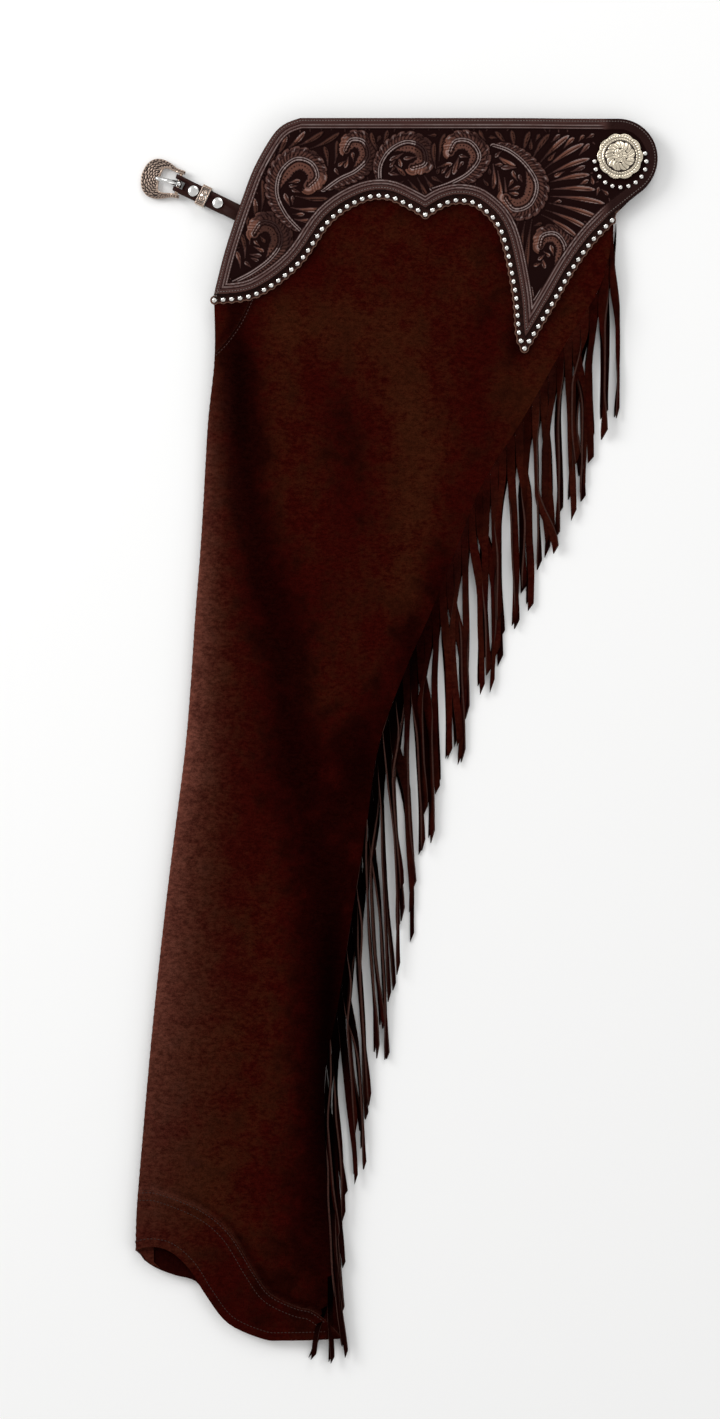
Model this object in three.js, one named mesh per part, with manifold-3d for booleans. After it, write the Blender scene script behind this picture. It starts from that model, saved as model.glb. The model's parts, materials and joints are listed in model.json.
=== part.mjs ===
// A pair of western show chaps, folded in half down the back and laid flat.
//
// The outer side of the near leg is on top, its front edge to -X and its waist to +Y. The far leg lies hidden
// beneath it. Sizes are in mm. Places on the leather are drawn as x, from front to back across the leg, and
// drop, down from the waist edge. The finished group is moved so that its box stands on the origin.

import * as THREE from 'three';
import { mergeVertices } from 'three/addons/utils/BufferGeometryUtils.js';
import Module from 'manifold-3d';

const wasm = await Module();
wasm.setup();

// ---- Leather and layers ----------------------------------------------------------------------------------

const SEAM_GAP = 0.3;
const SUEDE = 1.6;
const YOKE_LEATHER = 4;
const UNDERLAY_LEATHER = 1.5;
const STRAP_LEATHER = 2;

const FOLD_RADIUS = 2.7;                                       // outside radius of one leg's front fold
const FOLD_TOP = 4 * FOLD_RADIUS + SEAM_GAP;                   // two folded legs, one on the other
const FOLD_SPREAD = 90;                                        // the fold's fullness dies away over this
const CURL_UNDER = 16;                                         // how far the panel runs back under the fold
const HIDDEN_TOP = 5.6;                                        // three hidden layers, pressed together
const PANEL_TOP = HIDDEN_TOP + SEAM_GAP + SUEDE;
const LAYER_STEP = 1.9;                                        // height of one hidden layer at its edge

const YOKE_RISE = { height: YOKE_LEATHER + SEAM_GAP, from: 205, to: 300 };
const FOLD_FADE = { from: 120, to: 220 };                      // the fold starts below the yoke
const END_DROOP = { depth: 4, fromX: 105, toX: 160, fromDrop: 100, toDrop: 150 };

// ---- The leg ---------------------------------------------------------------------------------------------

// One row for each height: the front fold, the line where the fringe's cuts start, how far its strips lean to
// the back for each mm of drop, and how far down they reach.
const LEG = [
  { drop: -40, fold: -160, cut: 196, lean: 0.02, reach: 165 },
  { drop: 80, fold: -160, cut: 190, lean: 0.03, reach: 165 },
  { drop: 140, fold: -160, cut: 180, lean: 0.05, reach: 135 },
  { drop: 195, fold: -160, cut: 148, lean: 0.07, reach: 142 },
  { drop: 262, fold: -165, cut: 110, lean: 0.11, reach: 145 },
  { drop: 318, fold: -168, cut: 75, lean: 0.13, reach: 148 },
  { drop: 370, fold: -171, cut: 54, lean: 0.14, reach: 140 },
  { drop: 430, fold: -176, cut: 30, lean: 0.17, reach: 130 },
  { drop: 480, fold: -179, cut: 8, lean: 0.19, reach: 145 },
  { drop: 545, fold: -184, cut: -15, lean: 0.2, reach: 145 },
  { drop: 622, fold: -194, cut: -27, lean: 0.22, reach: 137 },
  { drop: 695, fold: -203, cut: -39, lean: 0.22, reach: 135 },
  { drop: 778, fold: -212, cut: -52, lean: 0.23, reach: 130 },
  { drop: 830, fold: -217, cut: -62, lean: 0.17, reach: 130 },
  { drop: 900, fold: -223, cut: -62, lean: 0.1, reach: 150 },
  { drop: 960, fold: -228, cut: -57, lean: 0.08, reach: 118 },
  { drop: 1030, fold: -231, cut: -51, lean: 0.06, reach: 45 },
  { drop: 1120, fold: -234, cut: -46, lean: 0.05, reach: 30 },
];

// Soft rises and hollows in the lying leather: reach is measured back from the front fold.
const SWELLS = [
  { reach: 150, drop: 420, width: 95, length: 150, height: 1.6 },
  { reach: 75, drop: 640, width: 60, length: 190, height: -0.9 },
  { reach: 125, drop: 820, width: 60, length: 200, height: 1.3 },
  { reach: 45, drop: 900, width: 45, length: 90, height: 0.8 },
  { reach: 150, drop: 1040, width: 70, length: 60, height: 1.1 },
];
// The leg's mouth stands open at the instep.
const MOUTH = { reach: 30, drop: 1000, width: 50, length: 75, height: 4.5, lift: 2.4 };

const ROW_STEP = { fine: 28, fineTo: 310, coarse: 58, from: -20, to: 1120 };
const CURL_STEPS = 5;
const NEAR_REACHES = [8, 16, 27, 42, 62, 86];
const REACH_STEP = 28;
const REACH_END = 400;

const HEM_BACK = [[-166, 1027], [-147, 1051], [-117, 1064.5], [-98, 1066], [-60, 1065], [-30, 1062]];
const HEM = [[-260, 990], [-229, 987], [-215, 983.5], [-198, 987.5], [-181, 1003], ...HEM_BACK];
const HIDDEN_HEM = [[-260, 985], [-229, 988], [-220, 996], [-209, 1003], [-193, 1009], [-176, 1014],
  ...HEM_BACK];
const HEM_BAND_SEAM = [[-260, 935], [-226, 934.5], [-206, 936], [-170, 951], [-145, 972], [-124, 1006],
  [-110, 1025], [-88, 1036], [-73, 1040], [-56, 1054], [-30, 1085]];
const THIGH_SEAM = [[-190, 226], [-159, 205], [-141, 184], [-130, 163], [-123, 143], [-122, 124],
  [-131, 108], [-160, 100]];
const FOLD_CUT = 157.5;                                        // the fold ends under the yoke's front tip
const LEG_TOP = 10;                                            // the leg's top edge, hidden under the yoke
const LEG_INSET = 7;                                           // the leg's front edge, inside the yoke's

const FRINGE_PITCH = 7;                                        // width that one cut strip takes
const STRIP_TIP = 4;
const FRINGE_START = 92;
const FRINGE_END = 905;
const TIP_HEIGHT = 2.2;                                        // a strip's lower face, away from the leg
const TIP_SPREAD = 45;
const HEM_STRIPS = [
  { x: -39.5, tip: 1072, half: 2 },
  { x: -45.5, tip: 1084, half: 3 },
  { x: -57, tip: 1081, half: 3.2 },
];
const HEM_CLEAR = 1068;                                        // the last strips show below this line

// ---- The yoke --------------------------------------------------------------------------------------------

const YOKE_FRONT = [[-159.3, 154.4], [-151, 121], [-143, 95], [-134, 69], [-124, 43], [-109, 16.6],
  [-98, 5.5], [-84, 0]];
const YOKE_END = { x: 193, radius: 34.6, turn: 50 };           // the round end that carries the concho
const NAILS_FRONT = [[-158.6, 158.3], [-123, 153], [-87, 127], [-59, 88.7], [-32, 70.7], [-9, 67.3],
  [12, 76], [25, 83.7]];
const NAILS_BACK = [[25, 83.7], [41, 74], [57, 71], [74, 77], [91.9, 99], [103.5, 150], [107, 188],
  [111.5, 200.4]];
const NAILS_SLANT = [[111.5, 200.4], [134.8, 162], [153, 130.5], [170, 106.6], [187.7, 88]];
const YOKE_EDGE = -4.2;                                        // the tooled yoke stops short of the nail line
const UNDERLAY_EDGE = 3;                                       // and the strip under it passes the line
const UNDERLAY_INSET = 1.2;
const UNDERLAY_CORNER = [192, 82];                             // where it comes out from under the round end

// ---- Hardware --------------------------------------------------------------------------------------------

const CONCHO = { x: 194.7, drop: 33, radius: 19, lobes: 10, lobe: 1.2, plate: 1.4, dome: 14.5, height: 5.2 };
const STUD_RING = { x: 195, drop: 37.4, radius: 22.6, count: 20, clear: 21.6 };
const STUD = { radius: 2, height: 1.7 };

const BAR = { x: -190.5, drop: 55.8, height: 4.1, radius: 1.5 };
const STRAP = { angle: 153.4, tilt: 5.6, width: 14.2, end: -96, edge: -57, underEnd: -46 };
const LOOP = { inner: 1.9, outer: 1.9 + STRAP_LEATHER, closed: -10, slack: 0.2 };
const SLOT = { half: 3.5, front: 7, ring: -4.6, back: -9 };
const BUCKLE_SKEW = 12;
const BUCKLE_TILT = 3.4;
const BUCKLE_OUTLINE = [[-3.2, 12.3], [4, 13], [12, 16.3], [19, 17.5], [26, 15.8], [31.4, 9.6], [33.6, 0]];
const BUCKLE_WINDOW = [[-6, 9.4], [4, 9.4], [12, 10.8], [16.2, 9], [17.6, 0]];
const BUCKLE_PLATE = { low: -1.6, high: 1 };
const BUCKLE_ARMS = { from: -3.2, to: 3.2, half: 13, high: 1.9 };  // raised where they hold the bar
const TONGUE = { inner: 1.75, outer: 2.9, ring: 5.2, tip: 21, width: 4.6, point: 3.2, thick: 1.5 };
const KEEPER = { at: -25, length: 8.6, width: 18.6, thickness: 1.5, low: -2.7, high: 2.7 };
const SCREWS = [-15, -39];
const SCREW = { shank: 1.9, hole: 2.25, head: 4.9, low: -2.5, high: 2.5, cap: 1.3, foot: 0.9 };

// ---- Finishes --------------------------------------------------------------------------------------------

const finish = (color, roughness, metalness) => (
  new THREE.MeshStandardMaterial({ color, roughness, metalness }));
const finishes = {
  suede: () => finish('#38130e', 0.95, 0),
  hiddenSuede: () => finish('#2c0d09', 0.97, 0),
  tooledLeather: () => finish('#4a2420', 0.5, 0),
  underlay: () => finish('#2a1210', 0.65, 0),
  strapLeather: () => finish('#24100d', 0.6, 0),
  silver: () => finish('#b9aa97', 0.3, 1),
};

// ---- Drawing helpers -------------------------------------------------------------------------------------

const { clamp, degToRad, lerp, smoothstep } = THREE.MathUtils;

/** A place on the leather as a point of the XY plane. */
const at = (x, drop) => new THREE.Vector2(x, -drop);

/** A smooth path through hand-placed places. */
function curve(places, stepsPerSpan = 5) {
  const spline = new THREE.SplineCurve(places.map(([x, drop]) => at(x, drop)));
  return spline.getPoints(stepsPerSpan * (places.length - 1));
}

/** The value of one column of the leg's table at any drop, as a smooth line through its rows. */
function legValue(column, drop) {
  const last = LEG.length - 1;
  const found = LEG.findIndex((row) => row.drop > drop);
  const next = clamp(found < 0 ? last : found, 1, last);
  const [a, b] = [LEG[next - 1], LEG[next]];
  const before = LEG[Math.max(next - 2, 0)];
  const after = LEG[Math.min(next + 1, last)];
  const span = b.drop - a.drop;
  const t = clamp((drop - a.drop) / span, 0, 1);
  const leaving = (b[column] - before[column]) / (b.drop - before.drop) * span;
  const arriving = (after[column] - a[column]) / (after.drop - a.drop) * span;
  const change = b[column] - a[column];
  return a[column] + t * (leaving + t * (3 * change - 2 * leaving - arriving
    + t * (leaving + arriving - 2 * change)));
}

/** A path moved sideways: positive distances go to the left of its direction. */
function offsetPath(path, distance) {
  return path.map((point, i) => {
    const ahead = path[Math.min(i + 1, path.length - 1)];
    const behind = path[Math.max(i - 1, 0)];
    const direction = ahead.clone().sub(behind).normalize();
    return new THREE.Vector2(point.x - direction.y * distance, point.y + direction.x * distance);
  });
}

/** Where two straight segments cross, or null. */
function crossing(a, b, c, d) {
  const [ab, cd, ac] = [b.clone().sub(a), d.clone().sub(c), c.clone().sub(a)];
  const turn = ab.cross(cd);
  const s = ac.cross(cd) / turn;
  const t = ac.cross(ab) / turn;
  return s >= 0 && s <= 1 && t >= 0 && t <= 1 ? a.clone().addScaledVector(ab, s) : null;
}

/** Two paths joined where they first cross, or end to end where they don't. */
function joinPaths(first, second) {
  for (let i = 0; i + 1 < first.length; i += 1) {
    for (let j = second.length - 2; j >= 0; j -= 1) {
      const meet = crossing(first[i], first[i + 1], second[j], second[j + 1]);
      if (meet) {
        return [...first.slice(0, i + 1), meet, ...second.slice(j + 1)];
      }
    }
  }
  return [...first, ...second];
}

/** An uneven but fixed number from 0 to 1 for each strip. */
function uneven(index, kind) {
  const wave = Math.sin(index * 12.9898 + kind * 78.233) * 43758.5453;
  return wave - Math.floor(wave);
}

// ---- Solids ----------------------------------------------------------------------------------------------

/** A manifold solid of a closed geometry. */
function solid(geometry) {
  geometry.deleteAttribute('normal');
  geometry.deleteAttribute('uv');
  const merged = mergeVertices(geometry, 1e-4);
  const vertProperties = new Float32Array(merged.attributes.position.array);
  const triVerts = new Uint32Array(merged.index.array);
  return new wasm.Manifold(new wasm.Mesh({ numProp: 3, vertProperties, triVerts }));
}

/** The geometry of a manifold solid. */
function geometryOf(body) {
  const mesh = body.getMesh();
  const geometry = new THREE.BufferGeometry();
  geometry.setAttribute('position', new THREE.BufferAttribute(new Float32Array(mesh.vertProperties), 3));
  geometry.setIndex(new THREE.BufferAttribute(new Uint32Array(mesh.triVerts), 1));
  return geometry;
}

/** An upright prism on an outline of points, between two heights. */
function prism(outline, low, high, holes = []) {
  const shape = new THREE.Shape(outline);
  shape.holes = holes.map((hole) => new THREE.Path(hole));
  const geometry = new THREE.ExtrudeGeometry(shape, { depth: high - low, steps: 1, bevelEnabled: false });
  return geometry.translate(0, 0, low);
}

/** A closed geometry of triangles between listed points. */
function closedGeometry(points, triangles) {
  const geometry = new THREE.BufferGeometry();
  const numbers = points.flatMap((p) => [p.x, p.y, p.z]);
  geometry.setAttribute('position', new THREE.Float32BufferAttribute(numbers, 3));
  geometry.setIndex(triangles);
  return geometry;
}

/** Two triangles for the square a, b, c, d. */
const square = (a, b, c, d) => [a, b, c, a, c, d];

/** A wall between an outer and an inner sheet, each a list of rows of points. */
function wall(outer, inner) {
  const rows = outer.length;
  const columns = outer[0].length;
  const top = (r, c) => r * columns + c;
  const under = (r, c) => rows * columns + r * columns + c;
  const [lastRow, lastColumn] = [rows - 1, columns - 1];
  const triangles = [];
  for (let r = 0; r < lastRow; r += 1) {
    for (let c = 0; c < lastColumn; c += 1) {
      triangles.push(...square(top(r, c), top(r + 1, c), top(r + 1, c + 1), top(r, c + 1)));
      const [a, b, d, e] = [under(r, c), under(r, c + 1), under(r + 1, c + 1), under(r + 1, c)];
      triangles.push(a, b, d, a, d, e);
    }
    triangles.push(...square(top(r + 1, 0), top(r, 0), under(r, 0), under(r + 1, 0)));
    triangles.push(...square(top(r, lastColumn), top(r + 1, lastColumn), under(r + 1, lastColumn),
      under(r, lastColumn)));
  }
  for (let c = 0; c < lastColumn; c += 1) {
    triangles.push(...square(top(lastRow, c + 1), top(lastRow, c), under(lastRow, c), under(lastRow, c + 1)));
    triangles.push(...square(top(0, c), top(0, c + 1), under(0, c + 1), under(0, c)));
  }
  return closedGeometry([...outer.flat(), ...inner.flat()], triangles);
}

/** A solid through closed rings of points, one ring for each row, all with as many points. */
function loft(rings) {
  const count = rings[0].length;
  const triangles = [];
  for (let r = 0; r + 1 < rings.length; r += 1) {
    for (let i = 0; i < count; i += 1) {
      const j = (i + 1) % count;
      triangles.push(...square(r * count + i, (r + 1) * count + i, (r + 1) * count + j, r * count + j));
    }
  }
  const section = rings[0].map((point) => new THREE.Vector2(point.x, point.z));
  const base = (rings.length - 1) * count;
  for (const [a, b, c] of THREE.ShapeUtils.triangulateShape(section, [])) {
    const clockwise = THREE.ShapeUtils.area([section[a], section[b], section[c]]) < 0;
    const [p, q] = clockwise ? [c, b] : [b, c];
    triangles.push(a, q, p);
    triangles.push(base + a, base + p, base + q);
  }
  return closedGeometry(rings.flat(), triangles);
}

// ---- The lying surface -----------------------------------------------------------------------------------

/** A soft bump, 1 at its middle and 0 beyond its width and length. */
function bump(swell, reach, drop) {
  const across = (reach - swell.reach) / swell.width;
  const along = (drop - swell.drop) / swell.length;
  const away = across ** 2 + along ** 2;
  return away < 1 ? (1 - away) ** 2 : 0;
}

/** How far the leg's mouth stands open at the instep. */
const mouthOpen = (reach, drop) => MOUTH.height * bump(MOUTH, reach, drop);

/** The height of the near leg's outer face, above the surface that the chaps lie on. */
function skinHeight(reach, drop) {
  const x = legValue('fold', drop) + reach;
  const fold = (FOLD_TOP - PANEL_TOP) * (1 - smoothstep(reach, FOLD_RADIUS, FOLD_SPREAD))
    * smoothstep(drop, FOLD_FADE.from, FOLD_FADE.to);
  const rise = YOKE_RISE.height * (1 - smoothstep(drop, YOKE_RISE.from, YOKE_RISE.to));
  const droop = END_DROOP.depth * smoothstep(x, END_DROOP.fromX, END_DROOP.toX)
    * (1 - smoothstep(drop, END_DROOP.fromDrop, END_DROOP.toDrop));
  const swell = SWELLS.reduce((sum, row) => sum + row.height * bump(row, reach, drop), 0);
  return PANEL_TOP + fold + rise - droop + swell + MOUTH.lift * bump(MOUTH, reach, drop);
}

/** The drops of the sections down the leg. */
function rowDrops() {
  const drops = [];
  for (let drop = ROW_STEP.from; drop <= ROW_STEP.to;) {
    drops.push(drop);
    drop += drop < ROW_STEP.fineTo ? ROW_STEP.fine : ROW_STEP.coarse;
  }
  return drops;
}

/** The reaches of the points across the top of a section. */
function topReaches() {
  const reaches = [FOLD_RADIUS, ...NEAR_REACHES];
  for (let reach = NEAR_REACHES.at(-1) + REACH_STEP; reach < REACH_END; reach += REACH_STEP) {
    reaches.push(reach);
  }
  return reaches;
}

/** One section's points at some reaches across the top, each moved up by the given amount. */
function topRow(drop, up, reaches = topReaches()) {
  const fold = legValue('fold', drop);
  return reaches.map((reach) => new THREE.Vector3(fold + reach, -drop, skinHeight(reach, drop) + up));
}

/** One section's points from under the fold, round it and across the top, set in from the outer face. */
function curledRow(drop, inset) {
  const fold = legValue('fold', drop);
  const radius = FOLD_RADIUS - inset;
  const axisHeight = skinHeight(FOLD_RADIUS, drop) - FOLD_RADIUS;
  const under = [CURL_UNDER, CURL_UNDER / 2].map((reach) => (
    new THREE.Vector3(fold + reach, -drop, axisHeight - radius)));
  const round = [];
  for (let step = 0; step < CURL_STEPS; step += 1) {
    const turn = Math.PI * step / CURL_STEPS;
    const x = fold + FOLD_RADIUS - radius * Math.sin(turn);
    round.push(new THREE.Vector3(x, -drop, axisHeight - radius * Math.cos(turn)));
  }
  return [...under, ...round, ...topRow(drop, -inset)];
}

/** A layer that lies on the near leg's outer face, between two heights above it. */
function layerOnLeg(low, high) {
  const drops = rowDrops().filter((drop) => drop < YOKE_RISE.to);
  const reaches = [-FOLD_RADIUS, ...topReaches()];
  const sheet = (up) => drops.map((drop) => topRow(drop, up, reaches));
  return solid(wall(sheet(high), sheet(low)));
}

// ---- Outlines --------------------------------------------------------------------------------------------

/** The line of the fringe's cuts, from the waist down. */
function cutPath() {
  const path = [];
  for (let drop = 12; drop <= 1092; drop += 27) {
    path.push(at(legValue('cut', drop), drop));
  }
  return path;
}

/** The yoke's outline: set in all round, with its scalloped lower edge that far past the nail line. */
function yokeOutline(inset, pastNails) {
  const front = offsetPath(curve(YOKE_FRONT), -inset);
  const radius = YOKE_END.radius - inset;
  const centre = at(YOKE_END.x, YOKE_END.radius);
  const turn = degToRad(YOKE_END.turn);
  const end = new THREE.Path().absarc(centre.x, centre.y, radius, Math.PI / 2, -turn, true);
  const slant = offsetPath(curve(NAILS_SLANT).reverse(), pastNails);
  const back = offsetPath(curve(NAILS_BACK).reverse(), pastNails);
  const scallop = offsetPath(curve(NAILS_FRONT).reverse(), pastNails);
  const corner = pastNails > 0 ? [at(...UNDERLAY_CORNER)] : [];
  return [...front, ...end.getPoints(10), ...corner, ...joinPaths(joinPaths(slant, back), scallop)];
}

/** The leg's outline: stepIn is how far its back edge lies inside the line of the cuts. */
function legOutline(hem, stepIn) {
  const front = offsetPath(curve(YOKE_FRONT), -LEG_INSET).filter((p) => p.y < -LEG_TOP && p.y > -FOLD_CUT);
  const outside = REACH_END;
  const back = offsetPath(cutPath(), -stepIn);
  const hemPath = joinPaths(curve(hem), back.reverse());
  const start = at(front[0].x, FOLD_CUT);
  return [at(-outside, 900), at(-outside, FOLD_CUT), start, ...front, at(front.at(-1).x, LEG_TOP),
    at(END_DROOP.toX, LEG_TOP), ...hemPath.reverse()];
}

/** The region in front of the thigh seam, moved out past the seam by a margin. */
function thighOutline(margin) {
  const seam = offsetPath(curve(THIGH_SEAM), -margin);
  return [at(-REACH_END, 226), ...seam, at(-REACH_END, 100)];
}

/** The region below the hem band's seam, moved up past the seam by a margin. */
function hemBandOutline(margin) {
  return [...offsetPath(curve(HEM_BAND_SEAM), margin), at(-30, 1120), at(-260, 1120)];
}

/** The strips of one fringe, from the waist down, each with its root and its tip. */
function fringeStrips(kind) {
  const strips = [];
  for (let drop = FRINGE_START; drop < FRINGE_END;) {
    const root = at(legValue('cut', drop), drop);
    const ahead = at(legValue('cut', drop + 1), drop + 1).sub(root);
    const lean = legValue('lean', drop) + 0.01 * (uneven(strips.length, kind) - 0.5);
    const hang = at(lean, 1);
    const reach = legValue('reach', drop) * (0.88 + 0.14 * uneven(strips.length, kind + 1));
    strips.push({ root, hang, tip: root.clone().addScaledVector(hang, reach) });
    drop += FRINGE_PITCH / Math.max(Math.abs(ahead.normalize().cross(hang.clone().normalize())), 0.2);
  }
  return strips;
}

/** A fringe's outline: cut strips that hang from the line of the cuts. */
function fringeOutline(kind, gap) {
  const strips = fringeStrips(kind);
  const half = STRIP_TIP / 2;
  const edge = [];
  strips.forEach((strip, i) => {
    edge.push(strip.tip.clone().add(at(half, -4)), strip.tip.clone().add(at(-half, 1)));
    const next = strips[i + 1];
    if (next) {
      const depth = 26 + 44 * uneven(i, kind + 2);
      edge.push(strip.root.clone().add(next.root).divideScalar(2).addScaledVector(strip.hang, depth));
    }
  });
  for (const { x, tip, half: side } of HEM_STRIPS) {
    edge.push(at(x + side, HEM_CLEAR), at(x, tip), at(x - side, HEM_CLEAR));
  }
  const inner = offsetPath(cutPath(), gap).filter((p) => p.y > -HEM_CLEAR && p.y < -(FRINGE_START - 12));
  return [...edge, at(legValue('cut', HEM_CLEAR) + gap, HEM_CLEAR - 1.8), ...inner.reverse()];
}

// ---- Leather pieces --------------------------------------------------------------------------------------

/** The far yoke, tooled side down, flat on the surface that the chaps lie on. */
const farYoke = solid(prism(yokeOutline(0, YOKE_EDGE), 0, YOKE_LEATHER));
const farYokeRoom = solid(prism(yokeOutline(-0.6, YOKE_EDGE + 0.6), -1, YOKE_LEATHER + SEAM_GAP));

/** The near leg's outer side with its fold, before it is cut to its pieces. */
function nearLegWall() {
  const drops = rowDrops();
  return solid(wall(drops.map((drop) => curledRow(drop, 0)), drops.map((drop) => curledRow(drop, SUEDE))));
}

/** One section of the hidden layers: the far leg's fold, then the step up to the near leg's inner side. */
function hiddenRing(drop) {
  const fold = legValue('fold', drop);
  const foldTop = skinHeight(FOLD_RADIUS, drop) - 2 * FOLD_RADIUS - SEAM_GAP;
  const below = SUEDE + SEAM_GAP;
  const point = (reach, height) => new THREE.Vector3(fold + reach, -drop, height);
  const round = [];
  for (let step = 0; step <= CURL_STEPS; step += 1) {
    const turn = Math.PI * step / CURL_STEPS;
    round.push(point(FOLD_RADIUS * (1 - Math.sin(turn)), foldTop / 2 * (1 - Math.cos(turn))));
  }
  const stepUp = [CURL_UNDER + 1, ...topReaches().filter((reach) => reach > CURL_UNDER + 1)];
  const top = stepUp.map((reach) => point(reach, skinHeight(reach, drop) - below - mouthOpen(reach, drop)));
  return [...round, point(CURL_UNDER + 0.7, foldTop), ...top, point(stepUp.at(-1), 0)];
}

/** The three layers under the near leg's outer side, as one rounded solid with stepped edges. */
function hiddenLayers() {
  const body = solid(loft(rowDrops().map(hiddenRing)));
  const low = solid(prism(legOutline(HIDDEN_HEM, 0), -1, LAYER_STEP));
  const next = solid(prism(legOutline(HIDDEN_HEM, 2.2), LAYER_STEP, 2 * LAYER_STEP));
  const high = solid(prism(legOutline(HIDDEN_HEM, 0.9), 2 * LAYER_STEP, 40));
  return body.intersect(low.add(next).add(high)).subtract(farYokeRoom);
}

/** A fringe hanging from the line of the cuts, with its lower face at the given height for each place. */
function fringe(kind, lowerFace) {
  const geometry = prism(fringeOutline(kind, SEAM_GAP), 0, SUEDE);
  const position = geometry.attributes.position;
  for (let i = 0; i < position.count; i += 1) {
    const [x, drop] = [position.getX(i), -position.getY(i)];
    position.setZ(i, position.getZ(i) + lowerFace(x, drop));
  }
  return solid(geometry);
}

/** The lower face of the near fringe: level with the leg at its cuts, then down onto the far fringe. */
function nearFringeFace(x, drop) {
  const fold = legValue('fold', drop);
  const cut = legValue('cut', drop);
  const fromLeg = skinHeight(cut - fold, drop) - SUEDE;
  return lerp(fromLeg, TIP_HEIGHT, smoothstep(x - cut, 0, TIP_SPREAD));
}

// ---- The buckle and its strap ----------------------------------------------------------------------------

/** The strap's own frame: the bar at its origin, the strap running to -X and up under the yoke. */
function strapFrame() {
  const turn = new THREE.Euler(0, degToRad(STRAP.tilt), degToRad(STRAP.angle), 'ZYX');
  const place = at(BAR.x, BAR.drop);
  return new THREE.Matrix4().makeRotationFromEuler(turn).setPosition(place.x, place.y, BAR.height);
}

/** A flat shape in X and Z, drawn out along Y to a width. */
function drawnAcross(outline, width) {
  const options = { depth: width, steps: 2, bevelEnabled: false };
  const geometry = new THREE.ExtrudeGeometry(new THREE.Shape(outline), options);
  return geometry.translate(0, 0, -width / 2).rotateX(Math.PI / 2);
}

/** A box between two corners. */
function block([x0, y0, z0], [x1, y1, z1]) {
  const geometry = new THREE.BoxGeometry(x1 - x0, y1 - y0, z1 - z0);
  return solid(geometry.translate((x0 + x1) / 2, (y0 + y1) / 2, (z0 + z1) / 2));
}

/** The strap: folded round the bar, doubled back under itself past the screws, and on under the yoke. */
function buckleStrap() {
  const path = new THREE.Path();
  const slope = Math.tan(degToRad(STRAP.tilt)) * (STRAP.edge - STRAP.end);
  const { inner, outer, closed, slack } = LOOP;
  path.moveTo(STRAP.end, slack + STRAP_LEATHER - slope);
  path.lineTo(STRAP.end, slack - slope);
  path.lineTo(STRAP.edge, slack);
  path.lineTo(closed, slack);
  path.lineTo(0, inner);
  path.absarc(0, 0, inner, Math.PI / 2, -Math.PI / 2, true);
  path.lineTo(closed, -slack);
  path.lineTo(STRAP.underEnd, -slack);
  path.lineTo(STRAP.underEnd, -slack - STRAP_LEATHER);
  path.lineTo(closed, -slack - STRAP_LEATHER);
  path.lineTo(0, -outer);
  path.absarc(0, 0, outer, -Math.PI / 2, Math.PI / 2, false);
  path.lineTo(closed, slack + STRAP_LEATHER);
  path.lineTo(STRAP.edge, slack + STRAP_LEATHER);
  const geometry = drawnAcross(path.getPoints(8), STRAP.width);
  const position = geometry.attributes.position;
  for (let i = 0; i < position.count; i += 1) {
    const nearBar = smoothstep(position.getX(i), closed, 0);
    position.setX(i, position.getX(i) - Math.tan(degToRad(BUCKLE_SKEW)) * position.getY(i) * nearBar);
  }
  const ringRoom = block([SLOT.ring, -SLOT.half, -8], [SLOT.front, SLOT.half, 8]);
  const swingRoom = block([SLOT.back, -SLOT.half, 0], [0, SLOT.half, 8]);
  const holes = SCREWS.map((x) => {
    const hole = new THREE.CylinderGeometry(SCREW.hole, SCREW.hole, 12, 16).rotateX(Math.PI / 2);
    return solid(hole.translate(x, 0, 0));
  });
  const slotted = solid(geometry).subtract(ringRoom).subtract(swingRoom);
  return holes.reduce((body, hole) => body.subtract(hole), slotted);
}

/** Room for the strap's sewn end among the leg's layers. */
function strapRoom() {
  const slope = Math.tan(degToRad(STRAP.tilt)) * (STRAP.edge - STRAP.end);
  const [end, mouth] = [STRAP.end - 2 * SEAM_GAP, STRAP.edge + 4];
  const outline = [[end, -slope - SEAM_GAP], [mouth, -SEAM_GAP], [mouth, 8], [end, 8]];
  const geometry = drawnAcross(outline.map(([x, z]) => new THREE.Vector2(x, z)), STRAP.width + 1);
  return solid(geometry.applyMatrix4(strapFrame()));
}

/** A screw through both layers of the strap, with a domed head above and a flat foot below. */
function strapScrew() {
  const { shank, head, low, high, cap, foot } = SCREW;
  const profile = [[0, low - foot], [head - 0.4, low - foot], [head - 0.4, low], [shank, low], [shank, high],
    [head, high], [head, high + 0.4], [head * 0.72, high + cap * 0.85], [0, high + cap]];
  return new THREE.LatheGeometry(profile.map(([r, z]) => new THREE.Vector2(r, z)), 20).rotateX(Math.PI / 2);
}

/** The metal keeper, a flat band right round the doubled strap. */
function strapKeeper() {
  const { length, width, thickness, low, high } = KEEPER;
  const rectangle = (half, bottom, top) => [[-half, bottom], [half, bottom], [half, top], [-half, top]]
    .map(([y, z]) => new THREE.Vector2(y, z));
  const shape = new THREE.Shape(rectangle(width / 2, low - thickness, high + thickness));
  shape.holes = [new THREE.Path(rectangle(width / 2 - thickness, low, high))];
  const geometry = new THREE.ExtrudeGeometry(shape, { depth: length, steps: 1, bevelEnabled: false });
  geometry.translate(0, 0, -length / 2).rotateX(Math.PI / 2).rotateZ(Math.PI / 2);
  return geometry;
}

/** A closed outline that is the same on both sides of the X axis, from its half widths. */
function mirrored(halves) {
  const side = new THREE.SplineCurve(halves.map(([x, half]) => new THREE.Vector2(x, half))).getPoints(24);
  const other = side.slice(0, -1).reverse().map((p) => new THREE.Vector2(p.x, -p.y));
  return [...side, ...other];
}

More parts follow.
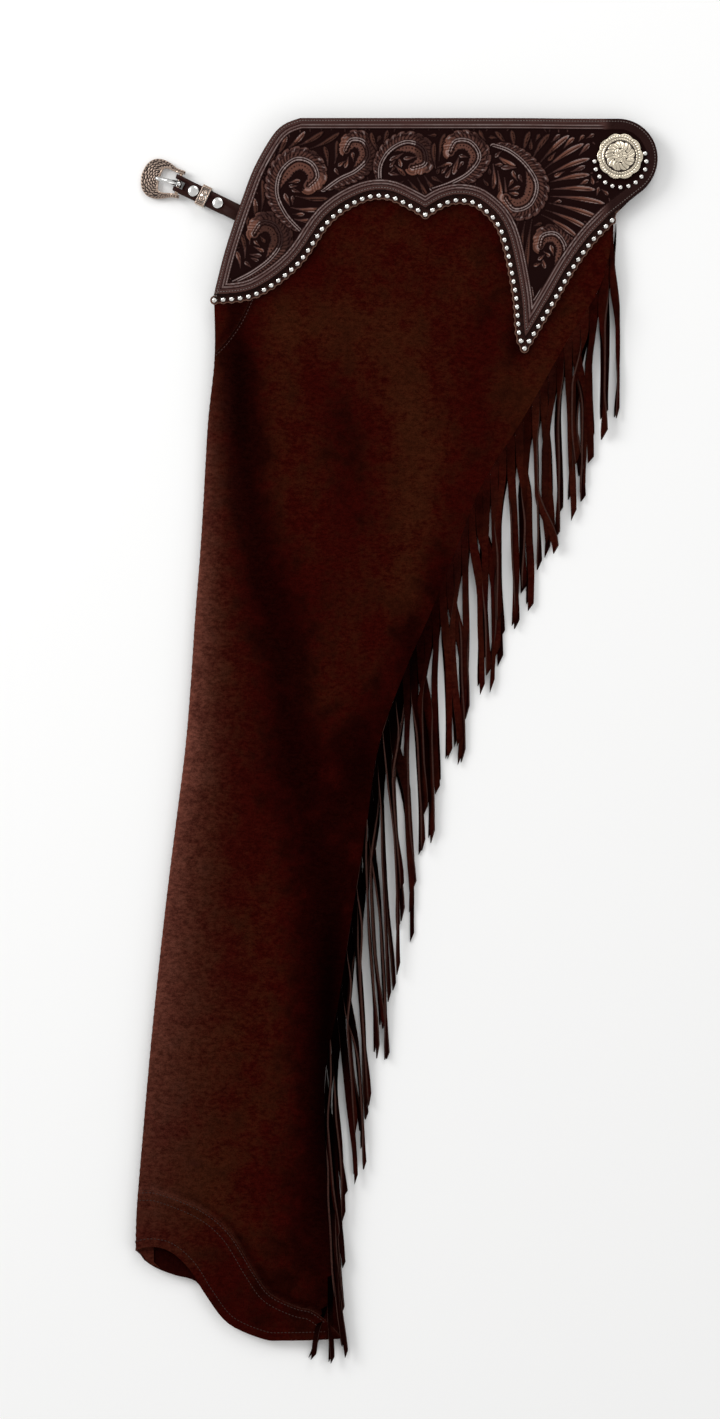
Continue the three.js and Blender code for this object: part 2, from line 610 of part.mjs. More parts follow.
/** The horseshoe frame and the bar between its arms. */
function buckleFrame() {
  const { low, high } = BUCKLE_PLATE;
  const rim = solid(prism(mirrored(BUCKLE_OUTLINE), low, high));
  const { from, to, half, high: armTop } = BUCKLE_ARMS;
  const ends = block([from, -half, low], [to, half, armTop]);
  const arms = ends.intersect(solid(prism(mirrored(BUCKLE_OUTLINE), low, armTop)));
  const bar = solid(new THREE.CylinderGeometry(BAR.radius, BAR.radius, 22, 16));
  return rim.add(arms).subtract(solid(prism(mirrored(BUCKLE_WINDOW), -6, 6))).add(bar);
}

/** The tongue: an eye round the bar and a blade that rests on the frame. */
function buckleTongue() {
  const { inner, outer, ring, tip, width, point, thick } = TONGUE;
  const rest = BUCKLE_PLATE.high + SEAM_GAP;
  const eye = solid(new THREE.CylinderGeometry(outer, outer, ring, 20));
  const bore = solid(new THREE.CylinderGeometry(inner, inner, ring + 2, 20));
  const blade = [[inner, -width / 2], [tip - 2, -point / 2], [tip, -point / 4], [tip, point / 4],
    [tip - 2, point / 2], [inner, width / 2]].map(([x, y]) => new THREE.Vector2(x, y));
  return eye.add(solid(prism(blade, rest, rest + thick))).subtract(bore);
}

/** The concho: a lobed plate with a domed centre. */
function concho() {
  const plate = [];
  for (let step = 0; step < 60; step += 1) {
    const turn = 2 * Math.PI * step / 60;
    const radius = CONCHO.radius + CONCHO.lobe * Math.abs(Math.cos(turn * CONCHO.lobes / 2));
    plate.push(new THREE.Vector2(radius * Math.cos(turn), radius * Math.sin(turn)));
  }
  const { dome, height, plate: thickness } = CONCHO;
  const profile = [[0, 0.2], [dome, 0.2], [dome, thickness + 1], [dome * 0.8, height * 0.72],
    [dome * 0.45, height * 0.94], [0, height]].map(([r, z]) => new THREE.Vector2(r, z));
  const middle = solid(new THREE.LatheGeometry(profile, 24).rotateX(Math.PI / 2));
  return solid(prism(plate, 0, thickness)).add(middle);
}

/** A domed stud with a flat foot. */
function stud() {
  const { radius, height } = STUD;
  const profile = [[0, 0], [radius, 0], [radius * 0.92, height * 0.5], [radius * 0.55, height * 0.88],
    [0, height]];
  return new THREE.LatheGeometry(profile.map(([r, z]) => new THREE.Vector2(r, z)), 10).rotateX(Math.PI / 2);
}

// ---- Assembly --------------------------------------------------------------------------------------------

const group = new THREE.Group();

/** Adds a named mesh, from a manifold solid or a geometry, to a parent. */
function addMesh(name, shape, material, parent = group) {
  const geometry = shape.isBufferGeometry ? shape : geometryOf(shape);
  const mesh = new THREE.Mesh(geometry, material);
  mesh.name = name;
  parent.add(mesh);
  return mesh;
}

/** The far leg and the hidden layers. */
function addHiddenSide() {
  addMesh('far_yoke', farYoke, finishes.tooledLeather());
  addMesh('folded_layers', hiddenLayers().subtract(strapRoom()), finishes.hiddenSuede());
  addMesh('far_fringe', fringe(40, () => 0).subtract(farYokeRoom), finishes.hiddenSuede());
}

/** The near leg's outer side, cut to its pieces. */
function addNearLeg() {
  const leg = nearLegWall().intersect(solid(prism(legOutline(HEM, 0), -20, 60))).subtract(strapRoom());
  const tall = (outline) => solid(prism(outline, -20, 60));
  addMesh('leg_panel', leg.subtract(tall(thighOutline(SEAM_GAP))).subtract(tall(hemBandOutline(SEAM_GAP))),
    finishes.suede());
  addMesh('front_thigh_piece', leg.intersect(tall(thighOutline(0))), finishes.suede());
  addMesh('hem_band', leg.intersect(tall(hemBandOutline(0))), finishes.suede());
  addMesh('near_fringe', fringe(10, nearFringeFace), finishes.suede());
}

/** The near yoke and the strip under its lower edge. */
function addYoke() {
  const underlayTop = SEAM_GAP + UNDERLAY_LEATHER;
  const underlay = layerOnLeg(SEAM_GAP, underlayTop);
  const yoke = layerOnLeg(underlayTop + SEAM_GAP, underlayTop + SEAM_GAP + YOKE_LEATHER);
  const shaped = (layer, inset, past) => layer.intersect(solid(prism(yokeOutline(inset, past), -20, 60)));
  addMesh('yoke_underlay', shaped(underlay, UNDERLAY_INSET, UNDERLAY_EDGE), finishes.underlay());
  addMesh('yoke', shaped(yoke, 0, YOKE_EDGE), finishes.tooledLeather());
}

/** The concho and the studs that show round it, on the yoke's round end. */
function addConcho() {
  const fold = legValue('fold', CONCHO.drop);
  const yokeDepth = 2 * SEAM_GAP + UNDERLAY_LEATHER + YOKE_LEATHER;
  const yokeTop = skinHeight(CONCHO.x - fold, CONCHO.drop) + yokeDepth;
  const centre = at(CONCHO.x, CONCHO.drop);
  addMesh('concho', concho(), finishes.silver()).position.set(centre.x, centre.y, yokeTop + SEAM_GAP);
  const ring = at(STUD_RING.x, STUD_RING.drop);
  let shown = 0;
  for (let i = 0; i < STUD_RING.count; i += 1) {
    const turn = 2 * Math.PI * i / STUD_RING.count;
    const place = new THREE.Vector2(STUD_RING.radius, 0).rotateAround(new THREE.Vector2(), turn).add(ring);
    if (place.distanceTo(centre) > STUD_RING.clear) {
      shown += 1;
      const mesh = addMesh(`concho_stud_${shown}`, stud(), finishes.silver());
      mesh.position.set(place.x, place.y, yokeTop + SEAM_GAP);
    }
  }
}

/** The strap with its screws and keeper, and the buckle that swings on it. */
function addBuckle() {
  const strap = new THREE.Group();
  strap.applyMatrix4(strapFrame());
  addMesh('buckle_strap', buckleStrap(), finishes.strapLeather(), strap);
  addMesh('strap_keeper', strapKeeper(), finishes.silver(), strap).position.set(KEEPER.at, 0, 0);
  SCREWS.forEach((x, i) => {
    addMesh(`strap_screw_${i + 1}`, strapScrew(), finishes.silver(), strap).position.set(x, 0, 0);
  });
  group.add(strap);
  const buckle = new THREE.Group();
  const place = at(BAR.x, BAR.drop);
  buckle.position.set(place.x, place.y, BAR.height);
  buckle.rotation.set(0, degToRad(BUCKLE_TILT), degToRad(STRAP.angle + BUCKLE_SKEW), 'ZYX');
  addMesh('buckle_frame', buckleFrame(), finishes.silver(), buckle);
  addMesh('buckle_tongue', buckleTongue(), finishes.silver(), buckle);
  group.add(buckle);
}

addHiddenSide();
addNearLeg();
addYoke();
addConcho();
addBuckle();

const box = new THREE.Box3().setFromObject(group, true);
const centre = box.getCenter(new THREE.Vector3());
group.position.set(-centre.x, -centre.y, -box.min.z);

export default group;
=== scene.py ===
"""A pair of western show chaps, folded in half down the back and laid flat.

The near leg's outer side is on top: suede with a long fringe at the back, a tooled yoke set with
nailheads, a concho on the yoke's round end, and a buckled strap at the front. The far leg lies hidden
beneath it. Places on the leather are drawn in mm as x, from front to back, and drop, down from the
waist. Heights are in mm above the surface that the chaps lie on.
"""

import json
import logging
import math
from dataclasses import dataclass, field
from enum import Enum
from functools import cache, cached_property
from typing import Any, Callable, Sequence

import bmesh
import bpy
import numpy as np
from mathutils import Matrix, Vector
from mathutils.bvhtree import BVHTree
from mathutils.geometry import delaunay_2d_cdt


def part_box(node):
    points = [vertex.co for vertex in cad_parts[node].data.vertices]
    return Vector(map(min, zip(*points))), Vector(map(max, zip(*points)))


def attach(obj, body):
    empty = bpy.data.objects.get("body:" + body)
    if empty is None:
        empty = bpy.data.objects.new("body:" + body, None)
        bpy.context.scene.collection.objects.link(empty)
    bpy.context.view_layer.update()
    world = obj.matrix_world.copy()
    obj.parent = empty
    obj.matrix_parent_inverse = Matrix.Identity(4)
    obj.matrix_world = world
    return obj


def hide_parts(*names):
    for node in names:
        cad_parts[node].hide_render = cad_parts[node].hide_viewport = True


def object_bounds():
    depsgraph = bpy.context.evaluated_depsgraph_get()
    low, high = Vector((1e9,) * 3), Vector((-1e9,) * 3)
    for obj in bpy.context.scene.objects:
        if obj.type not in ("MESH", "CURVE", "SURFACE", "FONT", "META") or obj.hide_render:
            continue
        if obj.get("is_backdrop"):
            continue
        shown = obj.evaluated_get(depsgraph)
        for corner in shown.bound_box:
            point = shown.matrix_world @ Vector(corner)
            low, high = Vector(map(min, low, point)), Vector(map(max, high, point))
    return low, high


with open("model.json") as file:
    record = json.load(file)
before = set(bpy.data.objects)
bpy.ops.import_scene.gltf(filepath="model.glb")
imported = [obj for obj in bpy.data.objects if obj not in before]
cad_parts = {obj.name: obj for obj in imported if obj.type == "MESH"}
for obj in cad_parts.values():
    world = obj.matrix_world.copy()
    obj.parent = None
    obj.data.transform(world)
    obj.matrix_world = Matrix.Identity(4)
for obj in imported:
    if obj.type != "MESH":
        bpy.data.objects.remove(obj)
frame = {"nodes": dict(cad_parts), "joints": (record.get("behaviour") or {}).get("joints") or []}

LOG = logging.getLogger("chaps")
MM = 0.001

Array = np.ndarray
Pair = tuple[float, float]
Triple = tuple[float, float, float]
Four = tuple[float, float, float, float]
Places = Sequence[Pair]
Values = dict[str, Array]
Settings = dict[Any, Any] | None
Object, Material, Socket = bpy.types.Object, bpy.types.Material, bpy.types.NodeSocket


class Body(Enum):
    """The bodies that pieces ride on."""

    CHAPS = "chaps"
    BUCKLE = "buckle"
    TONGUE = "tongue"


class Slot(Enum):
    """The record's material slots."""

    SUEDE = "suede"
    HIDDEN_SUEDE = "hidden_suede"
    TOOLED = "tooled_leather"
    UNDERLAY = "underlay_leather"
    STRAP = "strap_leather"
    SILVER = "silver"


# ---- Paths and regions on the leather ----


def step(value: Array | float, low: float, high: float) -> Array | float:
    """A soft step from 0 at low to 1 at high."""
    t = np.clip((np.asarray(value, float) - low) / (high - low), 0.0, 1.0)
    return t * t * (3 - 2 * t)


def hump(value: Array, width: Array | float, at: float = 0.0) -> Array:
    """A bell that is 1 where a value is at its middle and fades over a width."""
    return np.exp(-(((value - at) / width) ** 2))


def pairs(x: Array | float, drop: Array) -> Array:
    """Places from their two columns."""
    return np.stack([np.broadcast_to(x, len(drop)), drop], 1)


def circle(turns: Array) -> Array:
    """Places round a circle of radius 1, at some angles."""
    return pairs(np.cos(turns), np.sin(turns))


def unit(vector: Array) -> Array:
    """A vector's direction, with a length of 1."""
    return vector / np.linalg.norm(vector)


def left_of(way: Array) -> Array:
    """A direction turned to its left, seen with the waist up."""
    return np.array([way[1], -way[0]])


def rows(kind: Callable[..., Any], *table: Sequence[Any]) -> tuple[Any, ...]:
    """What the rows of a table describe, each made from its row."""
    return tuple(kind(*row) for row in table)


def smooth_path(places: Places, per_span: int = 5) -> Array:
    """A smooth path through given places, one point a row.

    Args:
        places: The places that the path goes through.
        per_span: How many points each stretch between two places gets.

    Returns:
        The path's points.
    """
    given = np.array(places, float)
    last = len(given) - 1
    t = np.arange(per_span)[:, None] / per_span
    spans = []
    for i in range(last):
        a, b = given[i], given[i + 1]
        leave = (b - given[max(i - 1, 0)]) / 2
        arrive = (given[min(i + 2, last)] - a) / 2
        cubic, square = 2 * a - 2 * b + leave + arrive, 3 * b - 3 * a - 2 * leave - arrive
        spans.append(cubic * t**3 + square * t**2 + leave * t + a)
    return np.vstack([*spans, given[-1:]])


def bowed(
    start: Sequence[float], end: Sequence[float], bow: float, lean: float = 1.0, count: int = 13
) -> Array:
    """A bent line.

    Args:
        start, end: Its ends.
        bow: How far its middle bends to its left.
        lean: How much nearer the end than the start the bend lies.
        count: How many points it has.

    Returns:
        The line's points.
    """
    a, b = np.array(start, float), np.array(end, float)
    middle = (a + lean * b) / (1 + lean) + bow * left_of(unit(b - a))
    t = np.linspace(0, 1, count)[:, None]
    return (1 - t) ** 2 * a + 2 * t * (1 - t) * middle + t**2 * b


def offset_path(path: Array, distance: float) -> Array:
    """Moves a path sideways.

    Args:
        path: The path's points.
        distance: How far; above zero it moves to its left, seen with the waist up.

    Returns:
        The moved points.
    """
    along = np.vstack([path[1:], path[-1:]]) - np.vstack([path[:1], path[:-1]])
    along /= np.linalg.norm(along, axis=1, keepdims=True)
    return path + distance * pairs(along[:, 1], -along[:, 0])


def crossing(a: Array, b: Array, c: Array, d: Array) -> Array | None:
    """Finds where the stretches a-b and c-d cross.

    Args:
        a, b: The ends of the first.
        c, d: The ends of the second.

    Returns:
        The place, or None where they don't cross.
    """
    ab, cd, ac = b - a, d - c, c - a
    turn = ab[0] * cd[1] - ab[1] * cd[0]
    if abs(turn) < 1e-9:
        return None
    s, t = ((ac[0] * v[1] - ac[1] * v[0]) / turn for v in (cd, ab))
    return a + s * ab if 0 <= s <= 1 and 0 <= t <= 1 else None


def join_paths(first: Array, second: Array) -> Array:
    """Joins two paths where they first cross, or end to end.

    Args:
        first, second: The paths' points.

    Returns:
        The points of both.
    """
    for i in range(len(first) - 1):
        for j in range(len(second) - 2, -1, -1):
            meet = crossing(first[i], first[i + 1], second[j], second[j + 1])
            if meet is not None:
                return np.vstack([first[: i + 1], meet, second[j + 1 :]])
    return np.vstack([first, second])


def lengths_along(path: Array) -> Array:
    """The length along a path to each of its points."""
    steps = np.linalg.norm(np.diff(path, axis=0), axis=1)
    return np.concatenate([[0.0], np.cumsum(steps)])


def evenly(path: Array, pitch: float) -> Array:
    """Divides a path into equal steps.

    Args:
        path: The path's points.
        pitch: The length that the steps come near.

    Returns:
        The points between the steps, both ends included.
    """
    lengths = lengths_along(path)
    count = max(int(round(lengths[-1] / pitch)), 1)
    stations = np.linspace(0, lengths[-1], count + 1)
    return np.stack([np.interp(stations, lengths, path[:, k]) for k in range(path.shape[1])], 1)


def densified(outline: Array, longest: float) -> Array:
    """Adds points to a closed outline.

    Args:
        outline: The outline's points.
        longest: The length that no side much exceeds.

    Returns:
        All its points.
    """
    points = []
    for a, b in zip(outline, np.roll(outline, -1, axis=0)):
        count = max(int(math.ceil(np.linalg.norm(b - a) / longest)), 1)
        points.append(a + (b - a) * (np.arange(count) / count)[:, None])
    return np.vstack(points)


def distance_to(points: Array, path: Array, closed: bool = False) -> tuple[Array, Array, Array]:
    """How far points lie from a path.

    Args:
        points: The points to measure from.
        path: The path's points.
        closed: Whether the path returns to its start.

    Returns:
        The distances, signed with the path's left side positive, the length along the path to the
        nearest place, and the distances without a sign.
    """
    ends = np.vstack([path, path[:1]]) if closed else path
    reached = lengths_along(ends)
    best = np.full(len(points), np.inf)
    side, station = np.zeros(len(points)), np.zeros(len(points))
    for i, along in enumerate(np.diff(ends, axis=0)):
        size = float(np.hypot(*along))
        if size < 1e-9:
            continue
        from_start = points - ends[i]
        t = np.clip(from_start @ along / size**2, 0, 1)
        away = from_start - t[:, None] * along
        distance = np.hypot(away[:, 0], away[:, 1])
        nearer = distance < best
        best[nearer] = distance[nearer]
        side[nearer] = (from_start[:, 0] * along[1] - from_start[:, 1] * along[0])[nearer]
        station[nearer] = (reached[i] + t * size)[nearer]
    return np.where(side >= 0, best, -best), station, best


def facing_up(outline: Array) -> Array:
    """Turns a closed outline round where it runs the wrong way.

    Args:
        outline: The outline's points.

    Returns:
        The points, with the region on their left, seen with the waist up.
    """
    x, drop = outline.T
    doubled = float((x * np.roll(drop, -1) - np.roll(x, -1) * drop).sum())
    return outline[::-1] if doubled > 0 else outline


def inside(points: Array, outline: Array) -> Array:
    """Tells which points lie inside a closed outline.

    Args:
        points: The points.
        outline: The outline's points.

    Returns:
        Whether each does.
    """
    result = np.zeros(len(points), bool)
    for a, b in zip(outline, np.roll(outline, -1, axis=0)):
        spans = (a[1] > points[:, 1]) != (b[1] > points[:, 1])
        if spans.any():
            cut = (b[0] - a[0]) * (points[:, 1] - a[1]) / (b[1] - a[1]) + a[0]
            result ^= spans & (points[:, 0] < cut)
    return result


@dataclass
class Net:
    """A fine net of triangles over a flat region, facing up."""

    places: Array  # One row for each point: x and drop, in mm
    triangles: Array  # One row of three point numbers for each triangle
    owners: list[tuple[int, ...]]  # For each triangle, the numbers of the outlines that it lies in

    def part(self, wanted: Callable[[tuple[int, ...]], bool]) -> "Net":
        """The triangles whose owners are wanted, with only the points that they use.

        Args:
            wanted: Whether triangles with some owners are kept.

        Returns:
            The smaller net.
        """
        keep = [i for i, owner in enumerate(self.owners) if wanted(owner)]
        used, numbers = np.unique(self.triangles[keep], return_inverse=True)
        return Net(self.places[used], numbers.reshape(-1, 3), [self.owners[i] for i in keep])

    def rim(self) -> Array:
        """The sides that only one triangle has, each running with the region on its left.

        Returns:
            The numbers of the two points of each side.
        """
        t = self.triangles
        have = {(int(a), int(b)) for a, b in np.vstack([t[:, [0, 1]], t[:, [1, 2]], t[:, [2, 0]]])}
        return np.array([(a, b) for a, b in sorted(have) if (b, a) not in have])

    def loop(self) -> Array:
        """The points of the rim in order, the region on the left.

        Returns:
            Their numbers.
        """
        following = {int(a): int(b) for a, b in self.rim()}
        loop = [next(iter(following))]
        while following[loop[-1]] != loop[0]:
            loop.append(following[loop[-1]])
        return np.array(loop)

    def area(self) -> float:
        """Its area, in square mm."""
        a, b = (self.places[self.triangles[:, k]] - self.places[self.triangles[:, 0]] for k in (1, 2))
        return float(np.abs(a[:, 0] * b[:, 1] - a[:, 1] * b[:, 0]).sum()) / 2


def fine_net(outlines: Sequence[Array], spacing: float, rim: float | None = None) -> Net:
    """Fills outlines with an even net of points.

    Args:
        outlines: Closed outlines, which may overlap: the net covers all of them.
        spacing: The distance between points, in mm.
        rim: The distance between points along the outlines, where it isn't the same.

    Returns:
        The net, whose owners count the outlines in the order given.
    """
    rings = [densified(facing_up(ring), rim or spacing) for ring in outlines]
    rims = np.vstack(rings)
    low, high = rims.min(0), rims.max(0)
    columns = np.arange(low[0], high[0] + spacing, spacing)
    levels = np.arange(low[1], high[1] + spacing, spacing * math.sqrt(0.75))
    grid = np.stack(np.meshgrid(columns, levels), -1)
    grid[1::2, :, 0] += spacing / 2
    grid = grid.reshape(-1, 2)
    covered, clear = np.zeros(len(grid), bool), np.ones(len(grid), bool)
    for ring in rings:
        close = (grid >= ring.min(0) - spacing).all(1) & (grid <= ring.max(0) + spacing).all(1)
        chosen = np.flatnonzero(close)
        covered[chosen] |= inside(grid[chosen], ring)
        clear[chosen] &= distance_to(grid[chosen], ring, closed=True)[2] > 0.5 * spacing
    points = np.vstack([rims, grid[covered & clear]])
    ends = np.cumsum([len(ring) for ring in rings])
    faces = [list(range(end - len(ring), end)) for end, ring in zip(ends, rings)]
    flat = [Vector((x, -drop)) for x, drop in points]
    made = delaunay_2d_cdt(flat, [], faces, 0, 1e-5, True)
    places = np.array([(p.x, -p.y) for p in made[0]])
    kept = [i for i, owner in enumerate(made[5]) if owner]
    triangles = np.array([made[2][i] for i in kept])
    return Net(places, triangles, [tuple(sorted(made[5][i])) for i in kept]).part(bool)


# ---- The pattern that the leather is cut to ----


@dataclass(frozen=True)
class LegRow:
    """One height down the leg."""

    drop: float  # The height, down from the waist
    cut: float  # Where the fringe's cuts start
    lean: float  # How far the strips lean to the back for each mm of drop
    reach: float  # How far down the strips hang


LEG_ROWS = rows(
    LegRow,
    (-40, 196, 0.015, 180), (80, 190, 0.015, 181), (140, 180, 0.015, 146), (195, 148, 0.015, 159),
    (262, 110, 0.02, 168), (318, 75, 0.02, 176), (370, 54, 0.025, 176), (430, 30, 0.03, 188),
    (480, 8, 0.04, 202), (545, -15, 0.05, 232), (622, -27, 0.06, 227), (695, -39, 0.075, 205),
    (778, -52, 0.085, 176), (830, -62, 0.085, 182), (900, -62, 0.07, 150), (960, -57, 0.06, 110),
    (1030, -51, 0.05, 45), (1120, -46, 0.05, 30),
)
# The back of the hem, on both sides of the leg
HEM_BACK = ((-166, 1027), (-147, 1051), (-117, 1064.5), (-98, 1066), (-60, 1065), (-30, 1062))


@dataclass(frozen=True)
class Pattern:
    """The chaps' cut: the lines that the leather is cut and sewn along, in mm."""

    # The yoke's top edge, up from its front tip
    yoke_front: Places = ((-159.3, 154.4), (-151, 121), (-143, 95), (-134, 69), (-124, 43), (-109, 16.6),
                          (-98, 5.5), (-84, 0))
    yoke_end: Pair = (193, 34.6)  # The middle of its round end, which reaches up to the waist
    yoke_end_turn: float = 50  # How far round the end goes on below its middle, in degrees
    # The lines of the nailheads: round the arch, down to the back tip and up to the round end
    nails_front: Places = ((-158.6, 158.3), (-123, 153), (-87, 127), (-59, 88.7), (-32, 70.7), (-9, 67.3),
                           (12, 76), (25, 83.7))
    nails_back: Places = ((25, 83.7), (41, 74), (57, 71), (74, 77), (91.9, 99), (103.5, 150), (107, 188),
                          (111.5, 200.4))
    nails_slant: Places = ((111.5, 200.4), (134.8, 162), (153, 130.5), (170, 106.6), (187.7, 88))
    nail_pitch: float = 7.4
    yoke_edge: float = -4.2  # How far the tooled leather passes the nailheads; below zero it stops short
    underlay_edge: float = 3.0  # How far the underlay passes the nailheads
    underlay_corner: Pair = (192, 82)  # Where it comes out from under the round end
    fold_cut: float = 157.5  # The drop where the front fold starts
    fold_end: float = 970  # The last drop at which it is felt
    fold_foot: float = 1001  # Below this the hem has turned away from the fold
    cut_drops: Triple = (12, 1093, 9.0)  # The first and last drop of the line of the cuts, and its pitch
    leg_top: float = 10  # The drop of the leg's top, under the yoke
    leg_top_back: float = 160  # How far back that goes
    leg_inset: float = 7  # How far inside the yoke's top edge the leg lies
    hem: Places = ((-253, 1003), (-243, 998), (-237, 991), (-229, 987), (-215, 983.5), (-198, 987.5),
                   (-181, 1003), *HEM_BACK)
    hidden_hem: Places = ((-260, 985), (-229, 988), (-220, 996), (-209, 1003), (-193, 1009), (-176, 1014),
                          *HEM_BACK)
    hem_seam: Places = ((-260, 935), (-226, 934.5), (-206, 936), (-170, 951), (-145, 972), (-124, 1006),
                        (-110, 1025), (-88, 1036), (-73, 1040), (-56, 1054), (-30, 1085))
    thigh_seam: Places = ((-190, 226), (-159, 205), (-141, 184), (-130, 163), (-123, 143), (-122, 124),
                          (-131, 108), (-160, 100))

    def leg_value(self, column: str, drop: float) -> float:
        """Reads one column of the leg's rows, on a smooth line through them.

        Args:
            column: The column's name.
            drop: Where it is read.

        Returns:
            Its value there.
        """
        last = len(LEG_ROWS) - 1
        drops = [row.drop for row in LEG_ROWS]
        value = [getattr(row, column) for row in LEG_ROWS]
        b = min(max(next((i for i in range(last + 1) if drops[i] > drop), last), 1), last)
        before, after = max(b - 2, 0), min(b + 1, last)
        span = drops[b] - drops[b - 1]
        t = min(max((drop - drops[b - 1]) / span, 0), 1)
        leave = (value[b] - value[before]) / (drops[b] - drops[before]) * span
        arrive = (value[after] - value[b - 1]) / (drops[after] - drops[b - 1]) * span
        change = value[b] - value[b - 1]
        curve = 3 * change - 2 * leave - arrive + t * (leave + arrive - 2 * change)
        return value[b - 1] + t * (leave + t * curve)

    def cut_place(self, drop: float) -> Array:
        """The place where the fringe's cuts start at a drop."""
        return np.array([self.leg_value("cut", drop), drop])

    def cut_path(self) -> Array:
        """The line of the fringe's cuts, from the waist down."""
        return np.array([self.cut_place(drop) for drop in np.arange(*self.cut_drops)])

    def cut_at(self, drops: Array) -> Array:
        """Where the fringe's cuts start at some drops."""
        return np.interp(drops, *self.cut_path().T[::-1])

    def yoke_outline(self, inset: float, past_nails: float) -> Array:
        """The yoke's closed outline, from the front tip over the top to the back.

        Args:
            inset: How far its top and ends are set in.
            past_nails: How far its lower edge passes the line of the nailheads.

        Returns:
            The outline's points.
        """
        front = offset_path(smooth_path(self.yoke_front), -inset)
        turns = np.radians(np.linspace(90, -self.yoke_end_turn, 25))
        ring = circle(-turns) * (self.yoke_end[1] - inset) + self.yoke_end
        corner = [self.underlay_corner] if past_nails > 0 else np.empty((0, 2))
        slant, back, arch = (
            offset_path(smooth_path(places)[::-1], past_nails)
            for places in (self.nails_slant, self.nails_back, self.nails_front)
        )
        return np.vstack([front, ring, corner, join_paths(join_paths(slant, back), arch)])

    def nail_rows(self) -> list[Array]:
        """Places the nailheads.

        Returns:
            Their places, a list for each stretch of the yoke's lower edge.
        """
        lines = (self.nails_front, self.nails_back, self.nails_slant)
        front, back, slant = (evenly(smooth_path(places, 12), self.nail_pitch) for places in lines)
        return [front, back[1:], slant[1:]]

    def leg_outline(self, hem: Places, step_in: float, left: Array) -> Array:
        """The closed outline of one side of a leg.

        Args:
            hem: The places along its hem.
            step_in: How far its back edge lies inside the line of the cuts.
            left: The line of its front edge, from the top down.

        Returns:
            The outline's points.
        """
        front = offset_path(smooth_path(self.yoke_front), -self.leg_inset)
        front = front[(front[:, 1] > self.leg_top) & (front[:, 1] < self.fold_cut)]
        back = offset_path(self.cut_path(), -step_in)[::-1]
        lower = join_paths(left, join_paths(smooth_path(hem), back))
        start, end = (front[0][0], self.fold_cut), (front[-1][0], self.leg_top)
        return np.vstack([start, *front, end, (self.leg_top_back, self.leg_top), lower[::-1]])


PATTERN = Pattern()


@dataclass(frozen=True)
class Drawing:
    """Turns the pattern's places into the frame's metres."""

    shift: float  # What is added to x
    waist: float  # The waist edge's place along Y

    @classmethod
    def from_frame(cls) -> "Drawing":
        """The drawing, placed by the near yoke's back end and top edge."""
        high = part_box("yoke")[1]
        return cls(high.x / MM - (PATTERN.yoke_end[0] + PATTERN.yoke_end[1]), high.y / MM)

    def metres(self, places: Array, heights: Array | float) -> Array:
        """Points in the frame, in metres, from places and heights in mm."""
        z = np.broadcast_to(heights, len(places))
        return np.stack([places[:, 0] + self.shift, self.waist - places[:, 1], z], 1) * MM


DRAWING = Drawing.from_frame()


# ---- Finishes ----


def maths(operation: str, swapped: bool = False) -> Callable[["Signal", "Signal | float"], "Signal"]:
    """A method that makes a Math node from a signal and another value.

    Args:
        operation: What the node does.
        swapped: Whether the other value comes first.

    Returns:
        The method.
    """

    def method(self: "Signal", other: "Signal | float") -> "Signal":
        """The sum, difference or product."""
        values = (other, self) if swapped else (self, other)
        return self.shader.number("ShaderNodeMath", {"operation": operation}, dict(enumerate(values)))

    return method


class Signal:
    """A number that changes over a surface, as a shader socket that takes part in sums."""

    __add__ = __radd__ = maths("ADD")
    __sub__, __rsub__ = maths("SUBTRACT"), maths("SUBTRACT", True)
    __mul__ = __rmul__ = maths("MULTIPLY")

    def __init__(self, shader: "Shader", socket: Socket) -> None:
        """Wraps a socket of a shader's tree."""
        self.shader, self.socket = shader, socket

    def between(self, low: float, high: float) -> "Signal":
        """A soft step from 0 where this is low to 1 where it is high."""
        settings = {"interpolation_type": "SMOOTHSTEP"}
        return self.shader.number("ShaderNodeMapRange", settings, {"Value": self, 1: low, 2: high})


def feed(socket: Socket, value: Any) -> None:
    """Links a signal or another socket to a socket, or sets its value.

    Args:
        socket: The socket that is fed.
        value: A signal, a socket, a number, a vector or a colour.
    """
    source = value.socket if isinstance(value, Signal) else value
    if isinstance(source, Socket):
        socket.id_data.links.new(source, socket)
    else:
        colour = socket.type == "RGBA" and len(value) == 3
        socket.default_value = (*value, 1.0) if colour else value


def add_node(
    tree: bpy.types.NodeTree, kind: str, settings: Settings = None, values: Settings = None
) -> bpy.types.Node:
    """Adds one node to a tree.

    Args:
        tree: The tree.
        kind: The node's type.
        settings: Its properties, which are set first.
        values: What goes into its sockets, by identifier, name or number.

    Returns:
        The node.
    """
    node = tree.nodes.new(kind)
    for key, value in (settings or {}).items():
        setattr(node, key, value)
    for key, value in (values or {}).items():
        named = [s for s in node.inputs if s.identifier == key]
        feed(named[0] if named else node.inputs[key], value)
    return node


